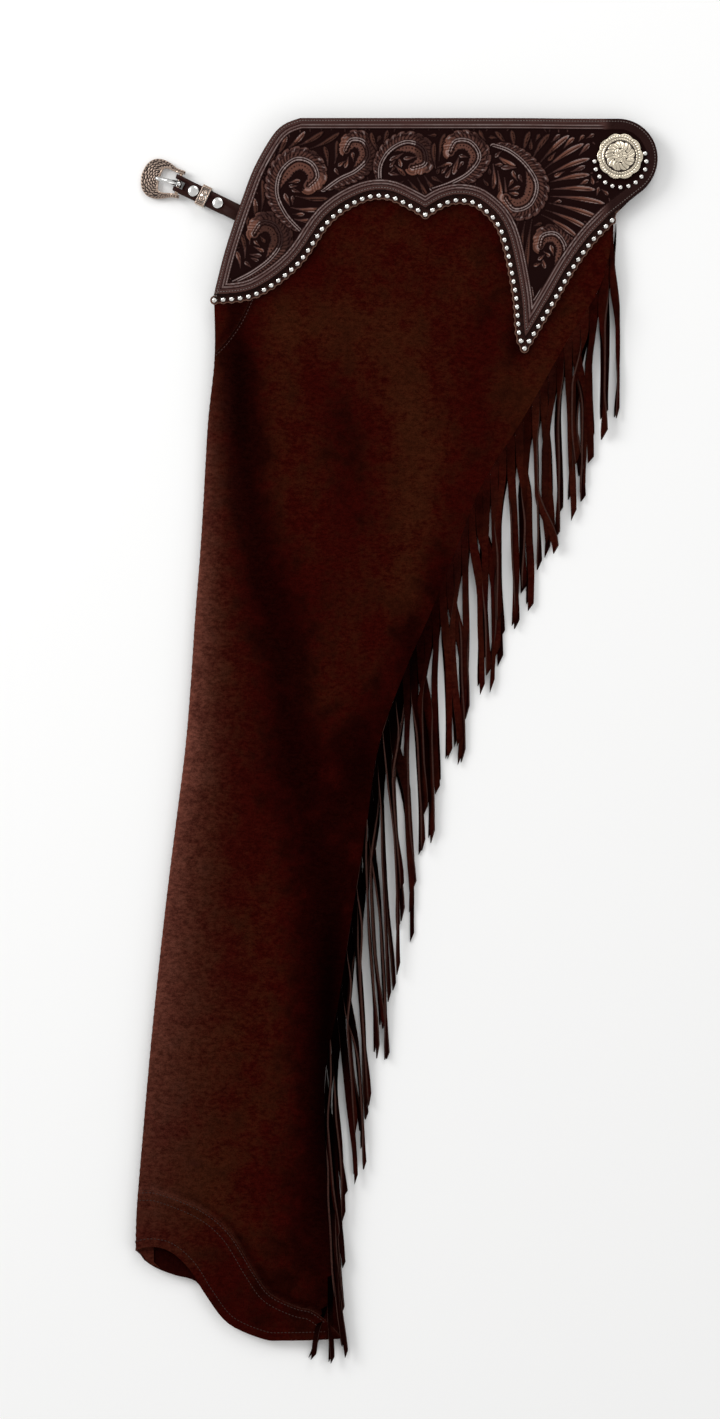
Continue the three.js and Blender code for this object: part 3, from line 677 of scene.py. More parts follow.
class Shader:
    """One material's node tree, with a Principled BSDF."""

    def __init__(self, name: str) -> None:
        """Makes an empty material with its shader.

        Args:
            name: The material's name.
        """
        self.material = bpy.data.materials.new(name)
        self.material.use_nodes = True
        self.tree = self.material.node_tree
        self.tree.nodes.clear()
        self.surface = self.node("ShaderNodeBsdfPrincipled")
        self.node("ShaderNodeOutputMaterial", None, {"Surface": self.surface.outputs["BSDF"]})
        self.place = self.node("ShaderNodeTexCoord").outputs["Object"]

    def node(self, kind: str, settings: Settings = None, values: Settings = None) -> bpy.types.Node:
        """Adds one node, as add_node does."""
        return add_node(self.tree, kind, settings, values)

    def number(self, kind: str, settings: Settings, values: Settings) -> Signal:
        """A signal from the first output of a new node."""
        return Signal(self, self.node(kind, settings, values).outputs[0])

    def noise(self, scale: float, detail: float, roughness: float, vector: Any = None) -> Signal:
        """Fractal noise, about 0.5, with a scale in cells a metre."""
        values = {"Vector": vector or self.place, "Scale": scale, "Detail": detail, "Roughness": roughness}
        return self.number("ShaderNodeTexNoise", {}, values)

    def stretched(self, scale: Triple, turn: float) -> Socket:
        """Object coordinates, scaled along each axis and turned about Z."""
        values = {"Vector": self.place, "Scale": scale, "Rotation": (0.0, 0.0, turn)}
        return self.node("ShaderNodeMapping", None, values).outputs["Vector"]

    def attribute(self, name: str) -> Signal:
        """A number stored on the piece's points."""
        return Signal(self, self.node("ShaderNodeAttribute", {"attribute_name": name}).outputs["Fac"])

    def blend(self, factor: Any, first: Any, second: Any, mode: str = "MIX") -> Socket:
        """A colour between two colours.

        Args:
            factor: How much of the second it holds.
            first, second: The colours, or sockets that give them.
            mode: How they are mixed.

        Returns:
            The socket that gives the colour.
        """
        values = {"Factor_Float": factor, "A_Color": first, "B_Color": second}
        node = self.node("ShaderNodeMix", {"data_type": "RGBA", "blend_type": mode}, values)
        return next(s for s in node.outputs if s.identifier == "Result_Color")

    def bump(self, height: Signal, strength: float, distance: float) -> None:
        """Feeds the shader's normal from a height, with a depth in metres."""
        values = {"Height": height, "Strength": strength, "Distance": distance}
        feed(self.surface.inputs["Normal"], self.node("ShaderNodeBump", None, values).outputs["Normal"])

    def finish(self, colour: Any, roughness: Any, specular: float = 0.5, **others: Any) -> Material:
        """Feeds the shader's own sockets.

        Args:
            colour: The base colour.
            roughness: The roughness.
            specular: The specular level.
            others: Other sockets, by name with _ for a space.

        Returns:
            The material.
        """
        named = {"Base Color": colour, "Roughness": roughness, "Specular IOR Level": specular}
        named |= {key.replace("_", " ").title(): value for key, value in others.items()}
        for name, value in named.items():
            feed(self.surface.inputs[name], value)
        return self.material


def dimmed(colour: Triple, share: float) -> Triple:
    """A colour with only a share of its light."""
    return tuple(share * c for c in colour)


@dataclass(frozen=True)
class Suede:
    """Napped chap leather, dyed unevenly, with a brushed pile and with painted shade and highlights."""

    name: str
    maroon: Triple = (0.0235, 0.0017, 0.0010)  # The colour where the dye has a red cast
    brown: Triple = (0.0325, 0.0074, 0.0029)  # The colour where the hide took the dye as brown
    dark: Triple = (0.0068, 0.0005, 0.0004)  # The colour of the pile's shaded side
    black: Triple = (0.0006, 0.0002, 0.0002)  # The colour of the deepest shade
    light: Triple = (0.120, 0.038, 0.026)  # The colour of the painted highlight along the fold and the seams' edges, and of pale strips
    tips: Triple = (0.75, 0.42, 0.33)  # The tint of the light that the pile's tips catch

    def build(self) -> Material:
        """Makes the material.

        Returns:
            The material.
        """
        shader = Shader(self.name)
        # The shade values are painted shade; the worn values are mostly a painted highlight along the fold
        # and the seams' edges.
        patch, shade, rubbed = (shader.attribute(name) for name in ("patch", "shade", "worn"))
        clouds, mottle = shader.noise(11, 3, 0.5), shader.noise(52, 5, 0.62)
        pile = shader.noise(330, 4, 0.75, shader.stretched((0.6, 1.0, 1.0), 0.15))
        speckle = shader.noise(900, 3, 0.7)
        browned = patch + (clouds - 0.5) * 2.0 + (mottle - 0.5) * 3.0 + (pile - 0.5) * 1.8 + 0.2
        colour = shader.blend(browned.between(-0.2, 1.3), self.maroon, self.brown)
        # Painted shade, broken up by the dye's mottle.
        shaded = (shade * 0.9 + (mottle - 0.49) * 2.6 + (pile - 0.5) * 1.2).between(0.0, 1.1)
        colour = shader.blend(shaded * 0.9, colour, self.dark)
        # Painted highlight where the fold and the seams' edges catch the light, and pale fringe strips.
        worn = (rubbed * (0.1 + pile * 0.9 + mottle * 0.9)).between(0.0, 1.1)
        colour = shader.blend(worn, colour, self.light)
        grain = (pile * 0.55 + speckle * 0.45).between(0.36, 0.64)
        colour = shader.blend(1.0, colour, grain * 0.8 + 0.6, "MULTIPLY")
        # Near black where the painted shade is deepest.
        colour = shader.blend(shade.between(1.0, 2.0), colour, self.black)
        shader.bump(pile * 0.6 + speckle * 0.4 + mottle * 0.6, 0.5, 0.0008)
        return shader.finish(colour, 0.95, 0.0, sheen_weight=0.01, sheen_roughness=0.4, sheen_tint=self.tips)


@dataclass(frozen=True)
class Fibres:
    """Something made of fine fibres: a raw cut edge, or waxed thread."""

    name: str
    colour: Triple = (0.11, 0.042, 0.028)  # Its colour where the light falls on it
    hollow: float = 0.45  # The share of that colour that is left between the fibres
    fine: float = 900  # How many fibres there are to a metre
    detail: float = 3  # The noise's detail
    rough: float = 0.6  # The noise's roughness
    spread: Pair = (0.35, 0.7)  # The noise's values at the hollows and at the fibres
    relief: Pair = (0.4, 0.0004)  # The bump's strength and depth
    gloss: Pair = (0.85, 0.2)  # The roughness and the specular level

    def build(self) -> Material:
        """Makes the material.

        Returns:
            The material.
        """
        shader = Shader(self.name)
        fibres = shader.noise(self.fine, self.detail, self.rough)
        colour = shader.blend(fibres.between(*self.spread), dimmed(self.colour, self.hollow), self.colour)
        shader.bump(fibres, *self.relief)
        return shader.finish(colour, *self.gloss)


def thread(name: str, colour: Triple) -> Fibres:
    """Waxed sewing thread."""
    return Fibres(name, colour, 0.5, 2600, 2, 0.5, (0.35, 0.65), (0.3, 0.0002), (0.7, 0.3))


@dataclass(frozen=True)
class TooledLeather:
    """Carved and stamped leather, dyed dark, with antiquing left in its cuts and painted highlights on its
    ridges.
    """

    name: str
    face: Triple = (0.064, 0.028, 0.024)  # The colour of the raised leather
    warm: Triple = (0.185, 0.072, 0.046)  # The colour of the leaves that the dye missed
    light: Triple = (0.360, 0.285, 0.270)  # The colour of the painted highlight on the ridges
    # The colour of the antiquing in the cuts and on the stamped ground
    cut: Triple = (0.0075, 0.0009, 0.0007)
    gloss: float = 0.42  # The roughness of the raised leather

    def build(self) -> Material:
        """Makes the material.

        Returns:
            The material.
        """
        shader = Shader(self.name)
        grain, stain = shader.noise(1300, 4, 0.6), shader.noise(70, 4, 0.6)
        cut, warm, lit = (shader.attribute(name) for name in ("cut", "warm", "lit"))
        colour = shader.blend(stain.between(0.3, 0.7) * 0.5, self.face, dimmed(self.face, 0.55))
        colour = shader.blend((warm * (0.55 + stain * 0.7)).between(0.05, 0.95), colour, self.warm)
        # Painted highlight on the raised leather, from the lit values.
        lit = (lit * (0.6 + grain * 0.5) + (stain - 0.5) * 0.5).between(0.15, 1.05)
        colour = shader.blend(lit * 0.85, colour, self.light)
        deep = (cut + (grain - 0.5) * 0.35).between(0.05, 0.85)
        colour = shader.blend(deep, colour, self.cut)
        shader.bump(grain + stain * 0.4, 0.22, 0.0005)
        return shader.finish(colour, self.gloss + deep * 0.32 + (stain - 0.5) * 0.18, 0.05)


@dataclass(frozen=True)
class PlainLeather:
    """Smooth strap leather with a waxed face, paler where it is worn."""

    name: str
    face: Triple = (0.020, 0.0050, 0.0038)  # The colour of the waxed face
    worn: Triple = (0.032, 0.014, 0.011)  # The colour where it is rubbed

    def build(self) -> Material:
        """Makes the material.

        Returns:
            The material.
        """
        shader = Shader(self.name)
        grain, stain = shader.noise(1100, 4, 0.6), shader.noise(120, 4, 0.6)
        rubbed = (shader.attribute("worn") + (stain - 0.5) * 0.5).between(0.1, 0.9)
        colour = shader.blend(rubbed, self.face, self.worn)
        colour = shader.blend(grain.between(0.55, 0.3) * 0.4, colour, dimmed(self.face, 0.3))
        shader.bump(grain, 0.3, 0.0004)
        return shader.finish(colour, 0.5, 0.06)


@dataclass(frozen=True)
class Silver:
    """Antiqued silver plate: bright where it is rubbed, dark in its recesses."""

    name: str
    bright: Triple = (0.80, 0.76, 0.69)  # The colour of the rubbed metal
    gloss: float = 0.2  # The roughness of the rubbed metal
    antique: Triple = (0.045, 0.030, 0.022)  # The colour of the dark patina

    def build(self) -> Material:
        """Makes the material.

        Returns:
            The material.
        """
        shader = Shader(self.name)
        marks, film = shader.noise(420, 4, 0.65), shader.noise(150, 3, 0.5)
        dark = (shader.attribute("cut") + (marks - 0.5) * 0.3).between(0.12, 0.8)
        colour = shader.blend(film.between(0.42, 0.7) * 0.6, self.bright, dimmed(self.bright, 0.72))
        colour = shader.blend(dark, colour, self.antique)
        shader.bump(marks, 0.12, 0.0002)
        return shader.finish(colour, self.gloss + dark * 0.4 + film * 0.14, metallic=1 - dark * 0.55)


@dataclass(frozen=True)
class Plain:
    """An even, dull colour."""

    name: str
    colour: Triple

    def build(self) -> Material:
        """Makes the material."""
        return Shader(self.name).finish(self.colour, 0.9, 0.1)


class Finish(Enum):
    """Every finish; each material is built once, when it is first used."""

    SUEDE = Suede("suede_napped")
    FRINGE = Suede("suede_fringe", (0.0235, 0.0022, 0.0013), (0.034, 0.0072, 0.0034))
    FLESH_SIDE = Suede("suede_flesh_side", (0.020, 0.0020, 0.0014), (0.026, 0.0050, 0.0028))
    CUT_EDGE = Fibres("suede_cut_edge")
    CUT_STRIP = Fibres("fringe_cut_edge", (0.050, 0.016, 0.010))
    YOKE_EDGE = Fibres("burnished_edge", (0.022, 0.0085, 0.0070))
    TOOLED = TooledLeather("tooled_leather")
    UNDERLAY = PlainLeather("underlay_leather", (0.024, 0.0070, 0.0050), (0.150, 0.075, 0.052))
    STRAP = PlainLeather("strap_leather")
    SILVER = Silver("antiqued_silver")
    GILT = Silver("warm_silver", (0.82, 0.72, 0.56), 0.17, (0.02, 0.01, 0.007))
    BRONZE = Silver("antiqued_bronze", (0.50, 0.375, 0.30), 0.2, (0.012, 0.004, 0.003))
    NAIL = Silver("nailhead_silver", (0.86, 0.84, 0.80), 0.14)
    STEEL = Silver("bright_steel", (0.88, 0.87, 0.85), 0.12)
    PALE_THREAD = thread("pale_thread", (0.20, 0.16, 0.145))
    DARK_THREAD = thread("dark_thread", (0.042, 0.014, 0.010))
    FLOOR = Plain("pale_floor", (0.94, 0.94, 0.935))

    @cached_property
    def material(self) -> Material:
        """Its material."""
        return self.value.build()


# ---- Making pieces ----


def put(name: str, data: bpy.types.ID) -> Object:
    """Puts a new object in the scene, at the origin.

    Args:
        name: Its name.
        data: What it holds.

    Returns:
        The object.
    """
    thing = bpy.data.objects.new(name, data)
    bpy.context.scene.collection.objects.link(thing)
    return thing


def dress(mesh: bpy.types.Mesh, finishes: Sequence[Finish]) -> None:
    """Gives a mesh its materials, and makes it smooth.

    Args:
        mesh: The mesh.
        finishes: The finish of each material number.
    """
    for finish in finishes:
        mesh.materials.append(finish.material)
    mesh.polygons.foreach_set("use_smooth", [True] * len(mesh.polygons))


def store(mesh: bpy.types.Mesh, name: str, numbers: Array) -> None:
    """Stores a number on each of a mesh's points."""
    layer = mesh.attributes.new(name, "FLOAT", "POINT")
    layer.data.foreach_set("value", np.asarray(numbers, np.float32))


def seat(piece: Object, slot: Slot, *replaced: str, body: Body = Body.CHAPS) -> Object:
    """Lets a finished piece ride on its body, hides the CAD nodes that it replaces, and reports it.

    Args:
        piece: The piece.
        slot: The record's material slot that its finish comes from; not used.
        replaced: The CAD nodes that it stands for.
        body: What it rides on.

    Returns:
        The piece.
    """
    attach(piece, body.value)
    if replaced:
        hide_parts(*replaced)
    LOG.info("%s: %d faces on %s", piece.name, len(piece.data.polygons), body.value)
    return piece


@dataclass
class Mesh:
    """A mesh in the making, in metres."""

    points: Array  # One row for each point
    faces: list[Sequence[int]]  # Each face's point numbers
    kinds: list[int]  # Each face's material number
    values: Values = field(default_factory=dict)  # Numbers stored on the points, by name
    sharp: list[tuple[int, int]] = field(default_factory=list)  # Pairs of points whose side stays a crease

    def piece(self, name: str, *finishes: Finish) -> Object:
        """Makes the Blender object, with its place in its mesh.

        Args:
            name: The piece's name.
            finishes: What its material numbers stand for.

        Returns:
            The piece, not yet seated.
        """
        mesh = bpy.data.meshes.new(name)
        mesh.from_pydata(self.points.tolist(), [], [list(map(int, f)) for f in self.faces])
        dress(mesh, finishes)
        mesh.polygons.foreach_set("material_index", self.kinds)
        for key, numbers in self.values.items():
            store(mesh, key, numbers)
        if self.sharp:
            creases = {tuple(sorted(map(int, pair))) for pair in self.sharp}
            marks = [tuple(sorted(edge.vertices)) in creases for edge in mesh.edges]
            mesh.attributes.new("sharp_edge", "BOOLEAN", "EDGE").data.foreach_set("value", marks)
        mesh.validate()
        mesh.update()
        return put(name, mesh)


def joined(meshes: Sequence[Mesh]) -> Mesh:
    """Joins several meshes.

    Args:
        meshes: The meshes, which all store what the first one does.

    Returns:
        The whole.
    """
    values = {key: np.concatenate([m.values[key] for m in meshes]) for key in meshes[0].values}
    whole = Mesh(np.vstack([m.points for m in meshes]), [], [], values)
    start = 0
    for mesh in meshes:
        whole.faces += [[i + start for i in face] for face in mesh.faces]
        whole.kinds += mesh.kinds
        whole.sharp += [(a + start, b + start) for a, b in mesh.sharp]
        start += len(mesh.points)
    return whole


def walled(net: Net, outer: Array, inner: Array, values: Values) -> Mesh:
    """A closed sheet of leather over a net.

    Args:
        net: The net of the sheet.
        outer: Its upper face's points, in metres.
        inner: Its lower face's points, in metres.
        values: Numbers for the net's points.

    Returns:
        The mesh, whose faces have material 0 and whose rim has material 1.
    """
    count, rim = len(net.places), net.rim().tolist()
    upper, lower = net.triangles.tolist(), (net.triangles[:, ::-1] + count).tolist()
    sides = [[a, a + count, b + count, b] for a, b in rim]
    kinds = [0] * (2 * len(upper)) + [1] * len(sides)
    sharp = [(a + k, b + k) for k in (0, count) for a, b in rim]
    both = {key: np.concatenate([v, v]) for key, v in values.items()}
    return Mesh(np.vstack([outer, inner]), upper + lower + sides, kinds, both, sharp)


def backed(
    net: Net, outer: Array, inner: Callable[[Array], Array], values: Values, spacing: float = 7.0
) -> Mesh:
    """A closed sheet whose upper face is finely worked and whose lower face is plain.

    Args:
        net: The net of the upper face, without holes.
        outer: The upper face's points, in metres.
        inner: Gives the lower face's points, in metres, from their places.
        values: Numbers for the upper face's points.
        spacing: The distance between the lower face's points, in mm.

    Returns:
        The mesh, whose faces have material 0 and whose rim has material 1.
    """
    count, loop = len(net.places), net.loop()
    plain = fine_net([net.places[loop]], spacing)
    keys = [[(round(x, 3), round(d, 3)) for x, d in p.tolist()] for p in (plain.places, net.places[loop])]
    numbers = {key: count + i for i, key in enumerate(keys[0])}
    foot = np.array([numbers[key] for key in keys[1]])
    lower = (plain.triangles[:, ::-1] + count).tolist()
    sides = np.stack([loop, foot, np.roll(foot, -1), np.roll(loop, -1)], 1).tolist()
    kinds = [0] * (len(net.triangles) + len(lower)) + [1] * len(sides)
    sharp = [(side[1], side[2]) for side in sides]
    both = {key: np.concatenate([v, np.zeros(len(plain.places))]) for key, v in values.items()}
    points = np.vstack([outer, inner(plain.places)])
    return Mesh(points, net.triangles.tolist() + lower + sides, kinds, both, sharp)


class Repeat(Enum):
    """What is set along a line."""

    STITCH = "stitch"
    NAIL = "nailhead"


@dataclass(frozen=True)
class Row:
    """A row of small things along lines, made by Geometry Nodes."""

    name: str
    kind: Repeat  # What is repeated
    pitch: float  # The distance between them, in mm; 0 sets one at each point of the lines
    size: Triple  # Length along the line, width and height, in mm
    finish: Finish
    facets: int = 8  # How many faces go round each

    def tree(self) -> bpy.types.NodeTree:
        """Builds the node tree: resampled lines, with an egg at each point, turned along the line.

        Returns:
            The tree.
        """
        tree = bpy.data.node_groups.new(f"row_of_{self.kind.value}s", "GeometryNodeTree")
        sockets = {"Lines": "Geometry", "Pitch": "Float", "Size": "Vector", "Finish": "Material"}
        for name, kind in sockets.items():
            tree.interface.new_socket(name, in_out="INPUT", socket_type=f"NodeSocket{kind}")
        tree.interface.new_socket("Row", in_out="OUTPUT", socket_type="NodeSocketGeometry")

        def add(kind: str, values: dict[str, Any], **settings: Any) -> Socket:
            """The first output of a new node."""
            return add_node(tree, kind, settings, values).outputs[0]

        given = tree.nodes.new("NodeGroupInput").outputs
        line = add("GeometryNodeMeshToCurve", {"Mesh": given["Lines"]})
        if self.pitch > 0:
            line = add("GeometryNodeResampleCurve", {"Curve": line, "Length": given["Pitch"]}, mode="LENGTH")
        round_egg = {"Segments": self.facets, "Rings": max(self.facets // 2, 4), "Radius": 0.5}
        egg = add("GeometryNodeSetShadeSmooth", {"Geometry": add("GeometryNodeMeshUVSphere", round_egg)})
        tangent = add("GeometryNodeInputTangent", {})
        turn = add("FunctionNodeAlignRotationToVector", {"Vector": tangent}, axis="X")
        placing = {"Points": line, "Instance": egg, "Rotation": turn, "Scale": given["Size"]}
        real = add("GeometryNodeRealizeInstances", {"Geometry": add("GeometryNodeInstanceOnPoints", placing)})
        row = add("GeometryNodeSetMaterial", {"Geometry": real, "Material": given["Finish"]})
        add_node(tree, "NodeGroupOutput", None, {"Row": row})
        return tree

    def build(self, lines: Sequence[Array]) -> Object:
        """Sets the row along lines, and makes it a plain mesh.

        Args:
            lines: The lines' points, in metres.

        Returns:
            The piece, not yet seated.
        """
        ends = np.cumsum([0] + [len(line) for line in lines]).tolist()
        edges = [(i, i + 1) for start, end in zip(ends, ends[1:]) for i in range(start, end - 1)]
        mesh = bpy.data.meshes.new(f"{self.name}_lines")
        mesh.from_pydata(np.vstack(lines).tolist(), edges, [])
        guide, tree = put(f"{self.name}_guide", mesh), self.tree()
        modifier = guide.modifiers.new("row", "NODES")
        modifier.node_group = tree
        inputs = {s.name: s.identifier for s in tree.interface.items_tree if s.in_out == "INPUT"}
        modifier[inputs["Pitch"]] = self.pitch * MM
        modifier[inputs["Size"]] = [v * MM for v in self.size]
        modifier[inputs["Finish"]] = self.finish.material
        bpy.context.view_layer.update()
        graph = bpy.context.evaluated_depsgraph_get()
        plain = bpy.data.meshes.new_from_object(guide.evaluated_get(graph))
        plain.name = self.name
        guide.modifiers.remove(modifier)
        bpy.data.objects.remove(guide)
        return put(self.name, plain)


# ---- The lying surface ----


def solid_tree(nodes: Sequence[str]) -> BVHTree:
    """Gathers the solids of some nodes.

    Args:
        nodes: The nodes' names.

    Returns:
        A tree in which they are felt from outside.
    """
    points, faces = [], []
    for mesh in (frame["nodes"][name].data for name in nodes):
        faces += [[len(points) + i for i in p.vertices] for p in mesh.polygons]
        points += [v.co.copy() for v in mesh.vertices]
    return BVHTree.FromPolygons(points, faces)


@dataclass
class LyingSurface:
    """The upper face of some solids, felt on a grid of reaches and drops and made smooth."""

    nodes: Sequence[str]  # The solids
    folds: Sequence[str]  # The nodes whose front fold the reaches are measured from
    first: float = 12  # The first drop of the grid
    last: float = 1064  # The last drop of the grid
    furthest: float = 366  # The furthest reach back from the fold
    nearest: float = 2.7  # The first reach that is felt
    pitch: float = 6  # The grid's pitch
    probes: tuple[float, ...] = (6.5, 7.5, 8.5, 9.5)  # The heights at which the fold is felt
    ahead: float = -300.0  # The x that the fold is felt from
    over: float = 100.0  # The height that the face is felt from

    def __post_init__(self) -> None:
        """Feels the solids."""
        self.drops = np.arange(self.first, self.last, self.pitch)
        self.reaches = np.arange(self.nearest, self.furthest, self.pitch)
        self.fold = self._feel_fold(solid_tree(self.folds))
        self.heights = self._soften(self._fill(self._feel_top(solid_tree(self.nodes))))

    def _feel_fold(self, tree: BVHTree) -> Array:
        """Feels the front fold.

        Args:
            tree: The solids that are folded.

        Returns:
            The fold's x at each drop; above the fold's end it keeps the last value.
        """
        line = np.full(len(self.drops), np.nan)
        for r, drop in enumerate(self.drops):
            starts = DRAWING.metres(pairs(self.ahead, np.full(len(self.probes), drop)), self.probes)
            hits = [tree.ray_cast(Vector(start), Vector((1, 0, 0)))[0] for start in starts]
            felt = [hit.x / MM - DRAWING.shift for hit in hits if hit is not None]
            if felt and PATTERN.fold_cut + self.pitch < drop < PATTERN.fold_end:
                line[r] = min(felt)
        known = ~np.isnan(line)
        line = np.interp(self.drops, self.drops[known], line[known])
        return np.convolve(np.pad(line, 4, mode="edge"), np.ones(9) / 9, mode="valid")

    def _feel_top(self, tree: BVHTree) -> Array:
        """Feels the upper face.

        Args:
            tree: The solids.

        Returns:
            The height at each drop and reach, or no number where there is nothing.
        """
        grid = np.full((len(self.drops), len(self.reaches)), np.nan)
        for r, drop in enumerate(self.drops):
            row = pairs(self.fold[r] + self.reaches, np.full(len(self.reaches), drop))
            for c, start in enumerate(DRAWING.metres(row, self.over)):
                hit = tree.ray_cast(Vector(start), Vector((0, 0, -1)))[0]
                if hit is not None:
                    grid[r, c] = hit.z / MM
        return grid

    @staticmethod
    def _fill(grid: Array) -> Array:
        """Fills empty places from their neighbours.

        Args:
            grid: The heights.

        Returns:
            The filled grid.
        """
        filled = grid.copy()
        while np.isnan(filled).any():
            padded = np.pad(filled, 1, constant_values=np.nan)
            around = np.stack([padded[1:-1, :-2], padded[1:-1, 2:], padded[:-2, 1:-1], padded[2:, 1:-1]])
            known = ~np.isnan(around)
            mean = np.where(known, around, 0).sum(0) / np.maximum(known.sum(0), 1)
            empty = np.isnan(filled) & known.any(0)
            filled[empty] = mean[empty]
        return filled

    @staticmethod
    def _soften(grid: Array) -> Array:
        """Rubs away the facets.

        Args:
            grid: The heights.

        Returns:
            The smooth grid.
        """
        weights = np.array([1, 4, 6, 4, 1]) / 16
        for axis in (0, 1, 0, 1):
            padded = np.pad(grid, [(2, 2) if k == axis else (0, 0) for k in (0, 1)], mode="edge")
            parts = [np.take(padded, range(i, i + grid.shape[axis]), axis) for i in range(5)]
            grid = sum(w * part for w, part in zip(weights, parts))
        return grid

    def fold_at(self, drops: Array) -> Array:
        """The front fold's x at some drops."""
        return np.interp(drops, self.drops, self.fold)

    def fold_line(self, shift: float, pitch: float) -> Array:
        """The front fold from the yoke to the hem, moved back by a shift."""
        drops = np.arange(PATTERN.fold_cut, PATTERN.fold_foot, pitch)
        return pairs(self.fold_at(drops) + shift, drops)

    def reach(self, places: Array) -> Array:
        """How far back from the front fold some places lie."""
        return places[:, 0] - self.fold_at(places[:, 1])

    def height(self, reaches: Array, drops: Array) -> Array:
        """Reads the height of the face.

        Args:
            reaches, drops: Where it is read.

        Returns:
            The heights, in mm.
        """
        r = np.clip((drops - self.drops[0]) / self.pitch, 0, len(self.drops) - 1.001)
        c = np.clip((reaches - self.reaches[0]) / self.pitch, 0, len(self.reaches) - 1.001)
        r0, c0 = r.astype(int), c.astype(int)
        fr, fc, grid = r - r0, c - c0, self.heights
        upper = grid[r0, c0] * (1 - fc) + grid[r0, c0 + 1] * fc
        lower = grid[r0 + 1, c0] * (1 - fc) + grid[r0 + 1, c0 + 1] * fc
        return upper * (1 - fr) + lower * fr

    def at(self, places: Array) -> Array:
        """The height of the face at some places."""
        return self.height(self.reach(places), places[:, 1])

    def roll(self, places: Array, radius: float, inset: float) -> tuple[Array, Array, Array, Array]:
        """Rolls flat places round the front fold.

        Args:
            places: The flat places; those in front of the fold go round and under it.
            radius: The fold's outer radius.
            inset: How far below the outer face the points lie.

        Returns:
            Whether each lies above the fold, its x, its height over the fold's axis, and how far it
            goes on under the fold.
        """
        fold, reach = self.fold_at(places[:, 1]), self.reach(places)
        turn = np.clip((radius - reach) / radius, 0, None)
        curl = np.minimum(turn, math.pi)
        under = (turn - curl) * radius
        rolled = fold + radius - (radius - inset) * np.sin(curl) + under
        above = reach >= radius
        return above, np.where(above, places[:, 0], rolled), (radius - inset) * np.cos(curl), under


@cache
def yoke_face(node: str) -> LyingSurface:
    """The upper face of the yoke or its underlay."""
    return LyingSurface([node], ["leg_panel"], first=0, last=206, furthest=390, nearest=3.0)


@dataclass(frozen=True)
class Crease:
    """A soft ridge or trough in the lying leather."""

    start: Pair  # Where it starts, as x and drop
    end: Pair
    width: float  # Its half width
    height: float  # How far it rises, or sinks where it is below zero
    bow: float  # How far its middle bends to its left

    def at(self, places: Array) -> Array:
        """Works out the rise that it adds.

        Args:
            places: The places.

        Returns:
            The rise at each place.
        """
        path = bowed(self.start, self.end, self.bow)
        _, station, away = distance_to(places, path)
        ends = np.sin(math.pi * np.clip(station / lengths_along(path)[-1], 0, 1)) ** 0.7
        return self.height * ends * hump(away, self.width)


def creased(places: Array, creases: Sequence[Crease]) -> Array:
    """The rise that all the creases add at some places."""
    return sum((crease.at(places) for crease in creases), np.zeros(len(places)))


# ---- The legs ----


@dataclass(frozen=True)
class Patch:
    """A soft cloud, at x and drop, with its half sizes and its strength, used both for brown dye and for
    painted shade.
    """

    x: float
    drop: float
    width: float
    length: float
    strength: float

    def at(self, places: Array) -> Array:
        """Its strength at some places."""
        away = (places - (self.x, self.drop)) / (self.width, self.length)
        return self.strength * np.exp(-(away**2).sum(1))


